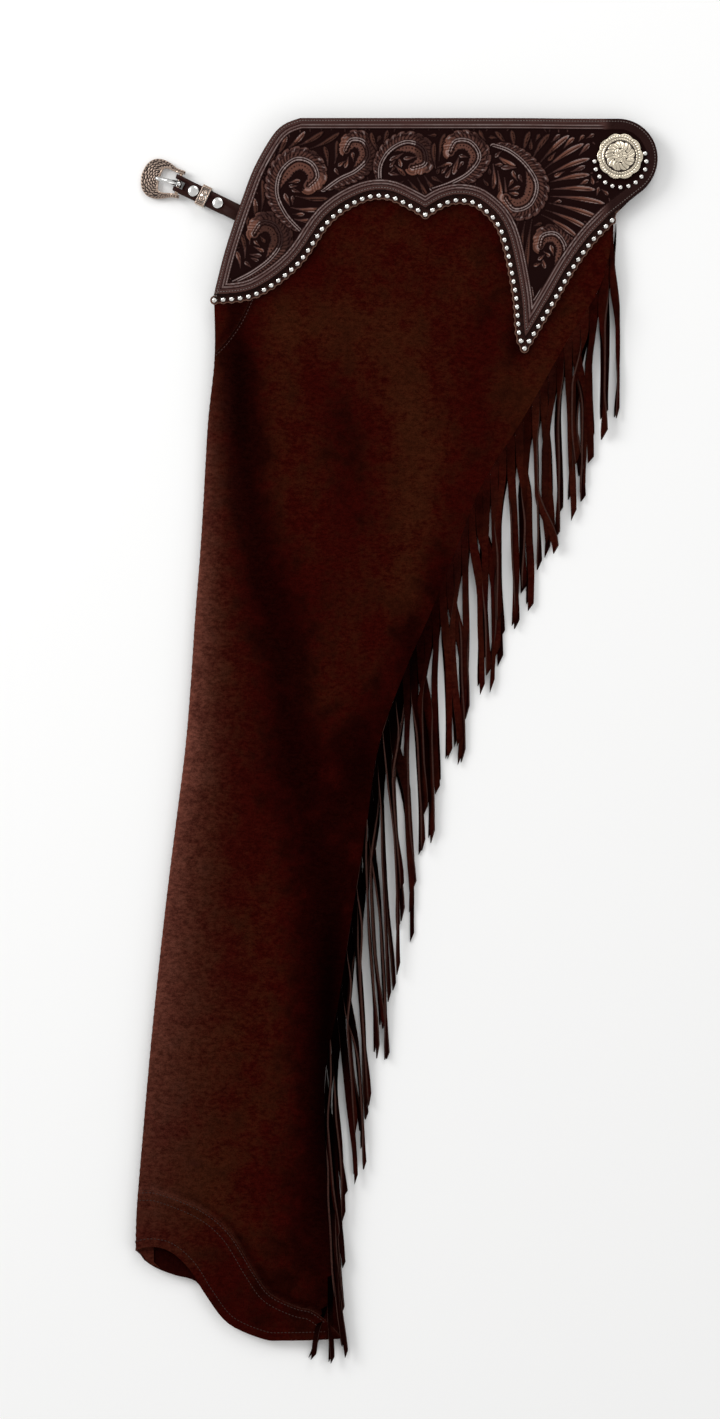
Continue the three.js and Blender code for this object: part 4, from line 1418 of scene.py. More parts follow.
@dataclass
class NearLeg:
    """The near leg's outer side: its panel, front thigh piece, hem band and their seams."""

    surface: LyingSurface  # The face that it lies with
    leather: float = 1.6  # Its thickness
    radius: float = 2.7  # The front fold's outer radius
    under: float = 13.3  # How far it goes on under the fold
    spacing: float = 3.6  # The distance between its points
    lap: Pair = (1.1, 7.0)  # How far it rises where a seam laps, and how wide that is
    # Corners beyond the leg, which close the hem band and the thigh piece
    band_corners: Places = ((-30, 1110), (-260, 1110))
    thigh_corners: Places = ((-190, 226), (-190, 100))
    seam_ends: Pair = (-236, -62)  # Where the stitches of the hem seam start and end
    hem_ends: Pair = (-238, -54)  # The same above the hem
    thigh_ends: Pair = (-166, 150)  # The furthest forward and the highest stitch of the thigh seam
    seam_rows: Pair = (-8.6, -2.0)  # How far the rows lie from the hem seam; below zero they lie under it
    hem_row: float = 7.0  # How far the stitches lie above the hem
    thigh_row: float = -2.2  # The same beside the thigh seam
    spare: Pair = (40, 20)  # How much wider and longer its uncut leather is
    # How strong the painted highlight along the fold is, where it catches the light, at some drops
    rubbed: Places = ((190, 0), (260, 0.45), (400, 0.85), (560, 1.15), (700, 0.85), (850, 0.45), (950, 0.25),
                      (1040, 0.1))
    # How far back from the fold the painted highlight reaches, at some drops
    fold_highlight_width: Places = ((300, 14), (600, 22), (900, 40))
    # The seams, with how strong the painted highlight on their lapped edges is; a painted shadow lies beside
    # each
    seams: tuple[tuple[Places, float], ...] = ((PATTERN.hem_seam, 0.18), (PATTERN.thigh_seam, 0.12))
    # Where the hide took the dye as brown
    brown_patches: tuple[Patch, ...] = rows(
        Patch,
        (-92, 172, 26, 26, 0.5), (-20, 176, 60, 34, 0.55), (4, 236, 24, 40, 0.55), (62, 128, 26, 34, 0.35),
        (98, 232, 22, 30, 0.4), (18, 290, 18, 60, 0.6), (16, 350, 20, 30, 0.65), (47, 368, 12, 16, 0.45),
        (8, 412, 18, 30, 0.5), (-38, 458, 16, 26, 0.15), (-100, 215, 14, 60, 0.35), (-160, 320, 12, 130, 0.4),
        (-168, 560, 18, 120, 0.4), (-178, 700, 24, 90, 0.4), (-176, 830, 40, 90, 0.45),
        (-170, 930, 44, 46, 0.45), (-130, 760, 26, 60, 0.2),
    )
    # Where shade is painted: the dark band behind the lit fold, and other dark clouds
    painted_shade_patches: tuple[Patch, ...] = rows(
        Patch,
        (-138, 200, 18, 44, 1.1), (-137, 262, 20, 50, 1.15), (-128, 330, 20, 54, 0.95),
        (-118, 392, 22, 48, 0.75), (-104, 446, 26, 46, 0.8), (-97, 500, 26, 50, 0.8), (-92, 556, 26, 50, 0.8),
        (-76, 606, 30, 52, 0.75), (-68, 664, 30, 54, 0.75), (-64, 730, 28, 56, 0.8), (-68, 800, 24, 60, 0.75),
        (-72, 880, 20, 60, 0.7), (-78, 960, 22, 50, 0.65), (-100, 1036, 60, 34, 0.6),
        (-55, 262, 20, 40, 0.35), (-44, 300, 18, 60, 0.4), (-34, 560, 26, 50, 0.9), (-56, 900, 12, 150, 0.5),
        (10, 462, 16, 40, 0.5), (36, 400, 14, 36, 0.5), (78, 160, 14, 40, 0.55), (76, 240, 14, 30, 0.4),
        (104, 208, 12, 30, 0.4), (-30, 330, 16, 40, 0.2), (-62, 430, 30, 44, 0.3), (-120, 1000, 40, 34, 0.3),
    )
    creases: tuple[Crease, ...] = rows(
        Crease,
        ((-146, 250), (-176, 640), 15, 0.9, 6), ((-116, 260), (-122, 610), 17, -1.3, 8),
        ((-60, 300), (-44, 520), 20, 0.8, -6), ((-20, 240), (6, 420), 15, -0.7, 5),
        ((60, 230), (30, 360), 13, 0.6, 5), ((-190, 640), (-205, 900), 15, 0.7, 5),
        ((-150, 660), (-165, 860), 17, -0.9, -7), ((-90, 600), (-98, 800), 20, 0.9, 8),
        ((-60, 700), (-76, 880), 12, -0.8, -5), ((-120, 880), (-118, 1000), 14, 0.6, 4),
        ((-92, 1040), (-66, 1050), 4, 0.8, 7), ((-84, 1052), (-62, 1060), 5, -0.6, 5),
        ((-10, 440), (-30, 560), 12, -0.6, 4), ((14, 130), (40, 250), 22, 0.7, -8),
        ((-70, 120), (-100, 210), 18, 0.6, 6), ((75, 130), (92, 240), 12, -0.6, 4),
        ((-200, 930), (-214, 975), 8, 0.6, 3),
    )

    def __post_init__(self) -> None:
        """Lays the net over the whole leg, with its seams."""
        left = self.surface.fold_line(self.radius * (1 - math.pi) - self.under, 10.0)
        leg = PATTERN.leg_outline(PATTERN.hem, 0.0, left)
        band = np.vstack([smooth_path(PATTERN.hem_seam), self.band_corners])
        lower, upper = self.thigh_corners
        thigh = np.vstack([lower, smooth_path(PATTERN.thigh_seam), upper])
        self.net = fine_net([leg, band, thigh], self.spacing)

    def wrapped(self, places: Array, inset: float, rise: Array) -> Array:
        """Points in the frame for flat places, rolled round the front fold.

        Args:
            places: The flat places; those in front of the fold go round and under it.
            inset: How far below the outer face the points lie.
            rise: What is added to their heights.

        Returns:
            The points, in metres.
        """
        above, x, turned, _ = self.surface.roll(places, self.radius, inset)
        reach = np.maximum(self.surface.reach(places), self.radius)
        top = self.surface.height(reach, places[:, 1]) + rise
        heights = np.where(above, top - inset, top - self.radius + turned)
        return DRAWING.metres(pairs(x, places[:, 1]), heights)

    def rise(self, places: Array, lap_over: Array | None = None) -> Array:
        """Works out how the leather rises over its lying face.

        Args:
            places: The flat places.
            lap_over: The seam that it laps over.

        Returns:
            The rise at each place.
        """
        on_top = step(self.surface.reach(places), -self.radius * 3, self.radius)
        rise = creased(places, self.creases) * on_top
        if lap_over is not None:
            height, width = self.lap
            rise += height * hump(distance_to(places, lap_over)[2], width) * on_top
        return rise

    def dye_and_painted_light(self, places: Array) -> Values:
        """The clouds in the dye, with painted shade and painted highlights along the fold and the seams.

        Args:
            places: The leather's places.

        Returns:
            How brown each is dyed, and how much shade and how much highlight are painted on it.
        """
        x, drops = places.T
        reach = self.surface.reach(places)
        # Painted shade on the leg beside the fringe's cuts.
        shade = 0.55 * hump(np.maximum(PATTERN.cut_at(drops) - x, 0), 26) * step(drops, 200, 420)
        shade += sum(p.at(places) for p in self.painted_shade_patches)
        # Painted shadow along the underlay's edge.
        underlay = PATTERN.yoke_outline(0, PATTERN.underlay_edge)
        shade += 0.5 * hump(distance_to(places, underlay, closed=True)[2], 9)
        # Painted highlight along the front fold, where it catches the light.
        tables = (self.rubbed, self.fold_highlight_width)
        strength, wide = (np.interp(drops, *np.transpose(table)) for table in tables)
        worn = 0.85 * strength * np.exp(-np.maximum(reach, 0) / wide)
        worn += 0.11 * step(drops, 640, 820) * hump(reach, 62)
        # Painted highlight on each seam's lapped edge, and painted shadow beside it.
        for seam, pale in self.seams:
            side, _, away = distance_to(places, smooth_path(seam))
            worn += pale * hump(away, 1.3)
            shade += 2.4 * pale * hump(np.abs(side), 2.2, 4.4) * (side > 0) * (away < 9)
        # The worn values here are all painted highlight.
        return {"patch": sum(p.at(places) for p in self.brown_patches), "shade": shade, "worn": worn}

    def skin(self, name: str, number: int, node: str, seam: Places | None = None) -> Object:
        """One sewn piece of the leg.

        Args:
            name: The piece's name.
            number: 1 for the hem band, 2 for the thigh piece and 0 for what is left.
            node: The CAD node that it stands for.
            seam: The seam that it laps over.

        Returns:
            The piece.
        """
        net = self.net.part(lambda o: {0, number} <= set(o) and (number > 0 or len(o) == 1))
        rise = self.rise(net.places, seam and smooth_path(seam))
        outer, inner = (self.wrapped(net.places, inset, rise) for inset in (0.0, self.leather))
        mesh = walled(net, outer, inner, self.dye_and_painted_light(net.places))
        return seat(mesh.piece(name, Finish.SUEDE, Finish.CUT_EDGE), Slot.SUEDE, node)

    def stitches(self) -> Object:
        """Sews the rows below the hem seam, above the hem and along the thigh seam.

        Returns:
            The piece.
        """
        paths = (PATTERN.hem_seam, PATTERN.hem, PATTERN.thigh_seam)
        seam, hem, thigh = (smooth_path(path, 9) for path in paths)
        seam, hem = (
            path[(path[:, 0] > front) & (path[:, 0] < back)]
            for path, (front, back) in ((seam, self.seam_ends), (hem, self.hem_ends))
        )
        thigh = offset_path(thigh[(thigh > self.thigh_ends).all(1)], self.thigh_row)
        sewn = [(offset_path(seam, away), seam) for away in self.seam_rows]
        sewn += [(offset_path(hem, self.hem_row), None), (thigh, thigh)]
        lines = [self.wrapped(line, -0.1, self.rise(line, lap)) for line, lap in sewn]
        row = Row("leg_stitches", Repeat.STITCH, 3.1, (2.4, 0.75, 0.7), Finish.DARK_THREAD)
        return seat(row.build(lines), Slot.SUEDE)

    def build(self, fringe: Object, fringe_area: float) -> None:
        """Args:
            fringe: The fringe that hangs from the leg.
            fringe_area: The flat area of its strips, in square mm.
        """
        panel = self.skin("leg_panel_suede", 0, "leg_panel")
        band = self.skin("hem_band_suede", 1, "hem_band", PATTERN.hem_seam)
        thigh = self.skin("thigh_piece_suede", 2, "front_thigh_piece", PATTERN.thigh_seam)
        others = [band, thigh, self.stitches(), fringe]
        net = self.net.part(lambda o: 0 in o)
        area = (net.area() + fringe_area) * MM * MM


# ---- Fringe ----


@dataclass
class Strip:
    """One cut strip of fringe."""

    left: Array  # Where its left side leaves the leg
    right: Array  # Where its right side leaves the leg
    hang: Array  # The direction that it hangs in
    length: float
    pull: float = 0.0  # How far its lower half is drawn sideways
    kick: float = 0.0  # How far its tip turns off to the right
    wave: float = 1.0  # How far it wanders to and fro, and where
    phase: float = 0.0  # Where in its wandering it starts
    twist: float = 0.0  # How far it turns about its length, in degrees
    twist_at: float = 0.6  # How far down it has turned
    layer: float = 0.0  # How high it lies on its neighbours
    slant: float = 6.0  # How much longer its left side is
    worn: float = 0.1  # How pale its nap is
    darker_dye_and_shade: float = 0.0  # How much darker it is: dyed darker at random, and painted shade on the lower strips and the tails


@dataclass
class Fringe:
    """The strips cut from one leg's back edge."""

    leg: NearLeg  # The near leg, whose face the strips leave
    near: bool  # Whether it is the near leg's fringe, which lies on the far one's
    seed: int  # What its unevenness is drawn from
    pitch: float = 6.3  # The strips' width
    first: float = 90  # The first strip's drop
    last: float = 880  # Where the tails take over from the strips
    leather: float = 1.5  # The strips' thickness
    steps: int = 18  # How many steps there are along a strip
    rest: float = 2.0  # The height that the strips lie at, away from the leg
    spread: float = 45  # How far from the leg they have come down to it
    # The drop of the strip whose tip turns off, and how far it turns
    kicked: Pair = (236, 17.0)
    # Strips beside the hem, as the x and drop of root and tip
    tails: tuple[Four, ...] = (
        (-62, 870, -46, 1000), (-60, 890, -50, 1024), (-61, 912, -46, 1040), (-59, 934, -49, 1056),
        (-58, 956, -47, 1068), (-57, 980, -44, 1078), (-58, 1000, -57, 1083), (-60, 1024, -74, 1080),
    )
    area: float = 0.0  # The flat area of its strips once they are made, in square mm

    def bunches(self, count: int) -> tuple[Array, Array]:
        """How strips are drawn together, the same for both legs.

        Args:
            count: How many strips there are.

        Returns:
            The sideways pull on each strip, and its place in its bunch.
        """
        draw = np.random.default_rng(5)
        pull, order = np.zeros(count), np.zeros(count)
        start = 0
        while start < count:
            size = int(draw.choice([2, 3, 3, 4, 4]))
            members = np.arange(start, min(start + size, count))
            centre = members.mean() + draw.normal(0, 0.25)
            pull[members] = (members - centre) * self.pitch * draw.uniform(0.64, 0.98)
            order[members] = np.arange(len(members)) % 2
            start += size
        return pull, order

    def roots(self) -> list[tuple[Array, Array, Array]]:
        """Steps down the line of the cuts, strip by strip.

        Returns:
            Each strip's right and left root, and the direction that it hangs in.
        """
        drop, places = self.first, []
        while drop < self.last:
            root, hang = PATTERN.cut_place(drop), unit(np.array([PATTERN.leg_value("lean", drop), 1.0]))
            ahead = unit(PATTERN.cut_place(drop + 1) - root)
            drop += self.pitch / max(abs(ahead @ left_of(hang)), 0.2)
            places.append((root, PATTERN.cut_place(drop), hang))
        return places

    def strips(self) -> list[Strip]:
        """Draws the strips, from the waist down, and the tails.

        Returns:
            All of them.
        """
        draw = np.random.default_rng(self.seed)
        places = self.roots()
        kicked, kick = self.kicked
        strips = []
        for (root, foot, hang), pull, order in zip(places, *self.bunches(len(places))):
            open_back = step(root[1], 430, 520)
            turned = draw.random() < 0.32 + 0.4 * open_back
            strips.append(Strip(
                foot, root, hang, PATTERN.leg_value("reach", root[1]) * draw.uniform(0.84, 1.03),
                pull=pull + draw.normal(0.0, 0.8), wave=draw.uniform(0.3, 1.3),
                phase=draw.uniform(0, 6.28), layer=order * 1.2 + draw.uniform(0, 0.5),
                twist=draw.choice([-1, 1]) * draw.uniform(60, 88) if turned else draw.normal(0, 10),
                twist_at=draw.uniform(0.3, 0.8) * (1 - 0.5 * open_back), slant=draw.uniform(5, 12),
                worn=draw.uniform(0.15, 0.35) if draw.random() < 0.12 else draw.uniform(0, 0.12),
                # Darker dye at random, with painted shade on the strips lower down
                darker_dye_and_shade=draw.uniform(-0.1, 0.35) + 0.25 * open_back,
                kick=kick if self.near and abs(root[1] - kicked) < 5 else draw.normal(0, 1.2),
            ))
        for tail in self.tails:
            root, tip = np.array(tail[:2], float), np.array(tail[2:], float)
            hang = unit(tip - root)
            side = left_of(hang) * 2.9
            # The tails are painted in shade, as they lie in the leg's shadow
            strips.append(Strip(root - side, root + side, hang, float(np.linalg.norm(tip - root)),
                                wave=draw.uniform(0.3, 1.6), phase=draw.uniform(0, 6.28),
                                twist=draw.normal(0, 26), layer=draw.uniform(0, 1), darker_dye_and_shade=0.9))
        return strips

    def base_height(self, places: Array) -> Array:
        """Finds where the strips come to rest: level with the leg at its cuts, then down to what they lie on.

        Args:
            places: The places under them.

        Returns:
            The height of their lower face.
        """
        if not self.near:
            return np.full(len(places), 0.05)
        cut = PATTERN.cut_at(places[:, 1])
        down = step(places[:, 0] - cut, 0, self.spread)
        edge = pairs(cut, places[:, 1])
        from_leg = self.leg.surface.at(edge) + self.leg.rise(edge) - self.leather
        return from_leg * (1 - down) + self.rest * down

    def ribbon(self, strip: Strip, t: Array, lower: float) -> tuple[Array, Array]:
        """The corners of a strip's cross sections.

        Args:
            strip: The strip.
            t: How far down it each section is, from 0 to 1.
            lower: How far down the leg it hangs, from 0 to 1.

        Returns:
            The corners, as x, drop and height, four to a section, and where its two sides lie.
        """
        side = left_of(strip.hang)
        ends = np.stack([strip.left, strip.right])
        down, across = ends @ strip.hang, ends @ side
        tips = down[1] + strip.length + np.array([strip.slant, -strip.slant]) / 2
        drops = down + t[:, None] * (tips - down)
        middle = across.mean()
        half = (across - middle) * (1 - 0.06 * step(t, 0, 0.15) - (0.24 + 0.14 * lower) * t)[:, None]
        drift = -strip.pull * (step(t, 0.14, 0.46) - 0.25 * step(t, 0.75, 1.0))
        drift = drift + strip.kick * step(t, 0.6, 1.0)
        if not self.near:
            drift += 0.5 * self.pitch * (1 - step(t, 0.05, 0.3))
        drift = drift + strip.wave * t * np.sin(7 * t + strip.phase)
        turned = step(t, strip.twist_at - 0.3, strip.twist_at) * (1 - 0.5 * step(t, 0.75, 1.0))
        turn = np.radians(strip.twist) * turned
        shape = np.zeros((len(t), 4, 3))
        for k, (u, v) in enumerate(((0, 0.5), (1, 0.5), (1, -0.5), (0, -0.5))):
            out = middle + drift + half[:, u] * np.cos(turn) + v * self.leather * np.sin(turn)
            shape[:, k, :2] = side * out[:, None] + strip.hang * drops[:, u, None]
            shape[:, k, 2] = -half[:, u] * np.sin(turn) + v * self.leather * np.cos(turn)
        base = self.base_height(shape.reshape(-1, 3)[:, :2]).reshape(len(t), 4).mean(1)
        layer = strip.layer * step(t, 0.08, 0.4) * (1.0 if self.near else 0.15)
        shape[:, :, 2] += (base - np.minimum(shape[:, :, 2].min(1), -self.leather / 2) + layer)[:, None]
        return shape.reshape(-1, 3), half

    def strip_mesh(self, strip: Strip) -> Mesh:
        """Makes one strip, and adds its flat area to the fringe's.

        Args:
            strip: The strip.

        Returns:
            A closed ribbon.
        """
        t = np.linspace(0, 1, self.steps + 1)
        lower = step(strip.right[1], 300, 620)
        flat, half = self.ribbon(strip, t, lower)
        self.area += float(abs(half[1:, 1] - half[1:, 0]).mean() * strip.length)
        grid = [(4 * i + k, 4 * i + (k + 1) % 4, k % 2) for i in range(self.steps) for k in range(4)]
        end = 4 * self.steps
        faces = [(3, 2, 1, 0), *((a, b, b + 4, a + 4) for a, b, _ in grid), (end, end + 1, end + 2, end + 3)]
        kinds = [1, *(kind for *_, kind in grid), 1]
        sharp = [(a, a + 4) for a, *_ in grid]
        # Painted shadow at each strip's root, deeper lower down the leg, and painted shade over the whole far
        # fringe, which lies under the near one.
        root_shadow = (0.5 + 1.3 * lower) * hump(t, 0.2 + 0.2 * lower)
        dark = root_shadow + 0.2 + 0.25 * lower + strip.darker_dye_and_shade if self.near else 1.2 + 0.8 * hump(t, 0.4)
        worn = strip.worn if self.near else 0.0
        values = {"shade": np.repeat(dark, 4), "patch": np.full(len(flat), 0.25),
                  "worn": np.full(len(flat), worn)}
        return Mesh(DRAWING.metres(flat[:, :2], flat[:, 2]), faces, kinds, values, sharp)

    def build(self) -> Object:
        """Makes the fringe, strip by strip.

        Returns:
            The piece.
        """
        side = "near" if self.near else "far"
        mesh = joined([self.strip_mesh(strip) for strip in self.strips()])
        piece = mesh.piece(f"{side}_fringe_strips", Finish.FRINGE, Finish.CUT_STRIP)
        return seat(piece, Slot.SUEDE if self.near else Slot.HIDDEN_SUEDE, f"{side}_fringe")


# ---- The tooled yoke ----


@dataclass
class Carving:
    """What the tools leave at some places of the leather."""

    places: Array  # The places, in mm
    field: Array  # How far inside the carved field each place lies; below zero it lies on the border
    rise: Array  # How far the leather stands above its uncarved face, in mm
    cut: Array  # How much dark antiquing it holds, from 0 to 1
    warm: Array  # How much of its own brown it shows, from 0 to 1

    def near(self, path: Array, margin: float) -> Array:
        """The numbers of the places in the field that lie about a path."""
        box = (self.places >= path.min(0) - margin).all(1) & (self.places <= path.max(0) + margin).all(1)
        return np.flatnonzero(box & (self.field > -0.6))

    def stamp(self, chosen: Array, inward: Array, rise: Array, cut: Array, warm: Array) -> None:
        """Carves one shape over what is there.

        Args:
            chosen: The numbers of the places about the shape.
            inward: How far each lies inside the shape's outline, in mm.
            rise: The shape's own relief.
            cut: The shape's own antiquing.
            warm: The shape's own brown.
        """
        inward = np.minimum(inward, self.field[chosen] - 0.1)
        cover = step(inward, -0.2, 0.45)
        groove = hump(inward, 0.6, -0.5) * (self.field[chosen] > 0)
        for values, new in ((self.rise, rise), (self.cut, cut), (self.warm, warm)):
            values[chosen] = values[chosen] * (1 - cover) + new * cover
        self.rise[chosen] -= 0.3 * groove
        self.cut[chosen] = np.maximum(self.cut[chosen], groove)


@dataclass(frozen=True)
class Petal:
    """A drop-shaped petal with a cut down its middle and a rolled tip."""

    root: Pair  # Where it starts, as x and drop
    tip: Pair
    bow: float  # How far its middle bends to its left
    width: float  # Its greatest half width
    warm: float = 0.75  # How brown it is

    def carve(self, carving: Carving) -> None:
        """Carves the petal.

        Args:
            carving: What it is carved into.
        """
        path = bowed(self.root, self.tip, self.bow, 1.3, 12)
        chosen = carving.near(path, self.width + 2)
        side, station, away = distance_to(carving.places[chosen], path)
        u = station / lengths_along(path)[-1]
        wide = self.width * (0.2 + 0.8 * step(u, 0.0, 0.8)) * np.sqrt(np.clip(1.06 - u**6, 0.06, 1))
        inward = wide - away
        split = np.exp(-((side + 0.2 * self.width) ** 2) / 0.22) * step(u, 0.3, 0.5)
        split *= 1 - step(u, 0.86, 0.96)
        rim = step(inward, 1.3, 0.3)
        rise = -0.25 + 0.35 * step(u, 0.1, 0.8) + 0.16 * rim - 0.5 * split
        cut = 0.95 * split + 0.22 * (1 - rim) * step(u, 0.6, 0.1)
        carving.stamp(chosen, inward, rise, cut, self.warm * (1 - 0.75 * rim) * step(u, 0.0, 0.5))


@dataclass(frozen=True)
class Leaf:
    """A curled leaf: a smooth double stem, a ribbed blade and a beaded, scalloped edge."""

    width: float  # The blade's greatest half width, on the stem's left
    side: int  # 1 where the blade is on the stem's left, or -1 on its right
    hollow: float  # The half width of the small blade on the stem's other side
    spine: Places  # The places that its stem goes through, from its root to its tip
    lobes: Pair = (5.2, 3.6)  # The pitch of the scallops on its blade and its small blade
    warm: float = 0.35  # How brown its blade is

    @staticmethod
    def scallops(stations: Array, pitch: float) -> tuple[Array, Array]:
        """Where each station lies in its scallop, from -1 to 1, and how far the scallop swells there."""
        lobe = 2 * ((stations / pitch) % 1) - 1
        return lobe, np.sqrt(np.clip(1 - lobe**2, 0, 1))

    def carve(self, carving: Carving) -> None:
        """Carves the leaf.

        Args:
            carving: What it is carved into.
        """
        path = smooth_path(self.spine, 6)
        chosen = carving.near(path, self.width + 3)
        side, station, _ = distance_to(carving.places[chosen], path)
        out, u = side * self.side, station / lengths_along(path)[-1]
        # The small blade inside the curl, with a row of seeded dots.
        lobe, swollen = self.scallops(station, self.lobes[1])
        wide = self.hollow * step(u, 0.3, 0.55) * (1 - 0.5 * step(u, 0.9, 1.0)) * (0.78 + 0.22 * swollen)
        inward = np.where(-out > -0.5, wide + out, -1.0)
        dots = hump(-out, 0.7, 0.5 * wide) * hump(lobe, 0.42)
        rim = step(inward, 1.2, 0.3)
        warm = np.clip(self.warm * 1.4 * (1 - 0.6 * rim), 0, 1)
        carving.stamp(chosen, inward, -0.15 + 0.12 * rim - 0.4 * dots, 0.95 * dots + 0.15, warm)
        # The stem, the ribbed blade and the scalloped edge.
        swell = np.sin(math.pi * (0.03 + 0.82 * np.clip(u, 0, 1))) ** 0.55
        slanted = station - 0.5 * np.maximum(out, 0)
        lobe, swollen = self.scallops(slanted, self.lobes[0])
        wide = self.width * swell * (0.8 + 0.2 * swollen)
        inward = np.where(out > 0, wide - out, 1.1 * step(u, -0.1, 0.2) + out)
        stem, blade = 1 - step(out, 2.6, 3.4), step(out, 2.9, 3.6)
        stem_rise = 0.24 * np.cos(2 * math.pi * (out - 0.15) / 2.1)
        ribs = 0.5 + 0.5 * np.cos(2 * math.pi * slanted / (self.lobes[0] / 2))
        outer = out / np.maximum(wide, 1.0)
        beads, tip = hump(outer, 0.1, 0.74), step(u, 0.86, 0.95)
        notch = hump(np.abs(lobe), 0.16, 1) * step(outer, 0.55, 0.8) * (1 - tip)
        ribbed = blade * (1 - tip) * step(outer, 0.98, 0.7)
        rise = 0.1 + stem * stem_rise + ribbed * (0.18 * ribs - 0.22) + 0.16 * beads * ribs * (1 - tip)
        rise += tip * (0.14 * ribs - 0.1) - 0.4 * notch
        cuts = (
            0.95 * stem * step(stem_rise, 0.02, -0.2),
            ribbed * (0.75 * (1 - ribs) ** 1.3 + 0.1),
            notch,
            0.5 * tip * (1 - ribs) ** 1.5,
            0.8 * hump(out, 0.4, 3.0) * (1 - tip),
        )
        warm = np.clip(self.warm * blade * (1 - beads) + 0.55 * tip, 0, 1)
        carving.stamp(chosen, inward, rise, np.maximum.reduce(cuts), warm)


@dataclass(frozen=True)
class Tooling:
    """The yoke's border lines and its carved leaves, in a layout of its own."""

    motifs: tuple[Leaf | Petal, ...]  # The leaves and petals, in the order that they are carved
    # Distances in from the yoke's edge, each with the leather's rise there
    border: Places = ((0, -0.7), (0.8, 0.0), (1.7, 0.02), (2.25, -0.3), (2.8, 0.02), (3.9, 0.08),
                      (4.6, -0.45), (5.3, 0.12), (6.5, 0.12), (7.2, -0.4), (8.0, 0.18), (8.9, 0.12),
                      (9.7, -0.75))
    border_width: float = 9.7  # Where the carved field starts
    # A round space kept for the concho: x, drop and radius
    clear: Triple = (195, 36.5, 26.0)
    ground: float = -0.75  # How far the matted ground lies below the face
    seed: int = 4  # What the small petals' places are drawn from
    tries: int = 1500  # How many small petals are tried
    lengths: tuple[float, ...] = (26, 21, 17, 13, 10, 7.5)  # The lengths that are tried for each

    def carve(self, places: Array) -> Carving:
        """Carves the whole yoke.

        Args:
            places: The places to carve.

        Returns:
            The carving there.
        """
        edge = distance_to(places, densified(PATTERN.yoke_outline(0, PATTERN.yoke_edge), 6), closed=True)[2]
        *centre, radius = self.clear
        from_concho = np.hypot(*(places - centre).T) - radius
        rise = np.interp(edge, *np.transpose(self.border), right=self.ground)
        round_end = step(places[:, 0], 176, 188)
        plain = 0.05 - 0.6 * step(edge, 0.8, 0.0)
        on_border = step(edge, self.border_width + 0.3, self.border_width - 0.3)
        rise = rise + round_end * on_border * 0.85 * (plain - rise)
        cut = np.where(edge < self.border_width - 0.4, step(rise, -0.05, -0.35), 0.92)
        cut = np.maximum(cut, 0.62 * round_end)
        inside_border = np.minimum(edge - self.border_width, from_concho)
        carving = Carving(places, inside_border, rise, cut, 0.25 * step(edge, 3.0, 0.5))
        for motif in self.motifs:
            motif.carve(carving)
        return carving

    def filled(self) -> "Tooling":
        """Fills the ground between the leaves with small petals.

        Returns:
            The same tooling with the petals.
        """
        draw = np.random.default_rng(self.seed)
        x, drop = np.meshgrid(np.arange(-162, 232, 1.0), np.arange(0, 206, 1.0))
        places = pairs(x.ravel(), drop.ravel())
        places = places[inside(places, PATTERN.yoke_outline(0, PATTERN.yoke_edge))]
        carving = self.carve(places)
        open_ground = (carving.field > 1.0) & (carving.rise < -0.6)
        taken = places[~open_ground & (carving.field > -1.5)]
        leaves = places[~open_ground & (carving.field > 2.5)]
        ground = places[open_ground]
        to_leaf = np.array([np.hypot(*(leaves - place).T).min() for place in ground])
        roots = ground[to_leaf < 9]
        added: list[Petal] = []
        for _ in range(self.tries):
            root = roots[draw.integers(len(roots))] + draw.normal(0, 0.4, 2)
            away = root - leaves[np.hypot(*(leaves - root).T).argmin()]
            heading = math.atan2(away[1], away[0]) + draw.normal(0.5, 0.55)
            close = taken[np.abs(taken - root).max(1) < 32]
            for length in self.lengths:
                width = min(3.0, 1.2 + 0.085 * length)
                tip = root + length * np.array([math.cos(heading), math.sin(heading)])
                t = np.linspace(0.25, 1.06, 9)[:, None]
                axis = root + t * (tip - root)
                gap = np.hypot(*(axis[:, None] - close[None]).transpose(2, 0, 1)).min(1)
                if (gap > 0.9 + width * np.minimum(0.15 + t[:, 0], 0.95)).all():
                    bow = draw.uniform(-0.09, 0.09) * length
                    added.append(Petal(tuple(root), tuple(tip), bow, width, draw.uniform(0.25, 1.0)))
                    taken = np.vstack([taken, axis + draw.normal(0, 0.1, axis.shape)])
                    break
        return Tooling((*added, *self.motifs))


def spray(leaf: tuple[Any, ...], *petals: tuple[float, ...]) -> list[Leaf | Petal]:
    """Some petals, then the leaf that is carved over them.

    Args:
        leaf: The leaf's half width, side, inner blade and spine.
        petals: Each petal's root, tip, bow, half width and, where it isn't the usual one, brown.

    Returns:
        The petals and the leaf.
    """
    return [*(Petal(row[:2], row[2:4], *row[4:]) for row in petals), Leaf(*leaf)]


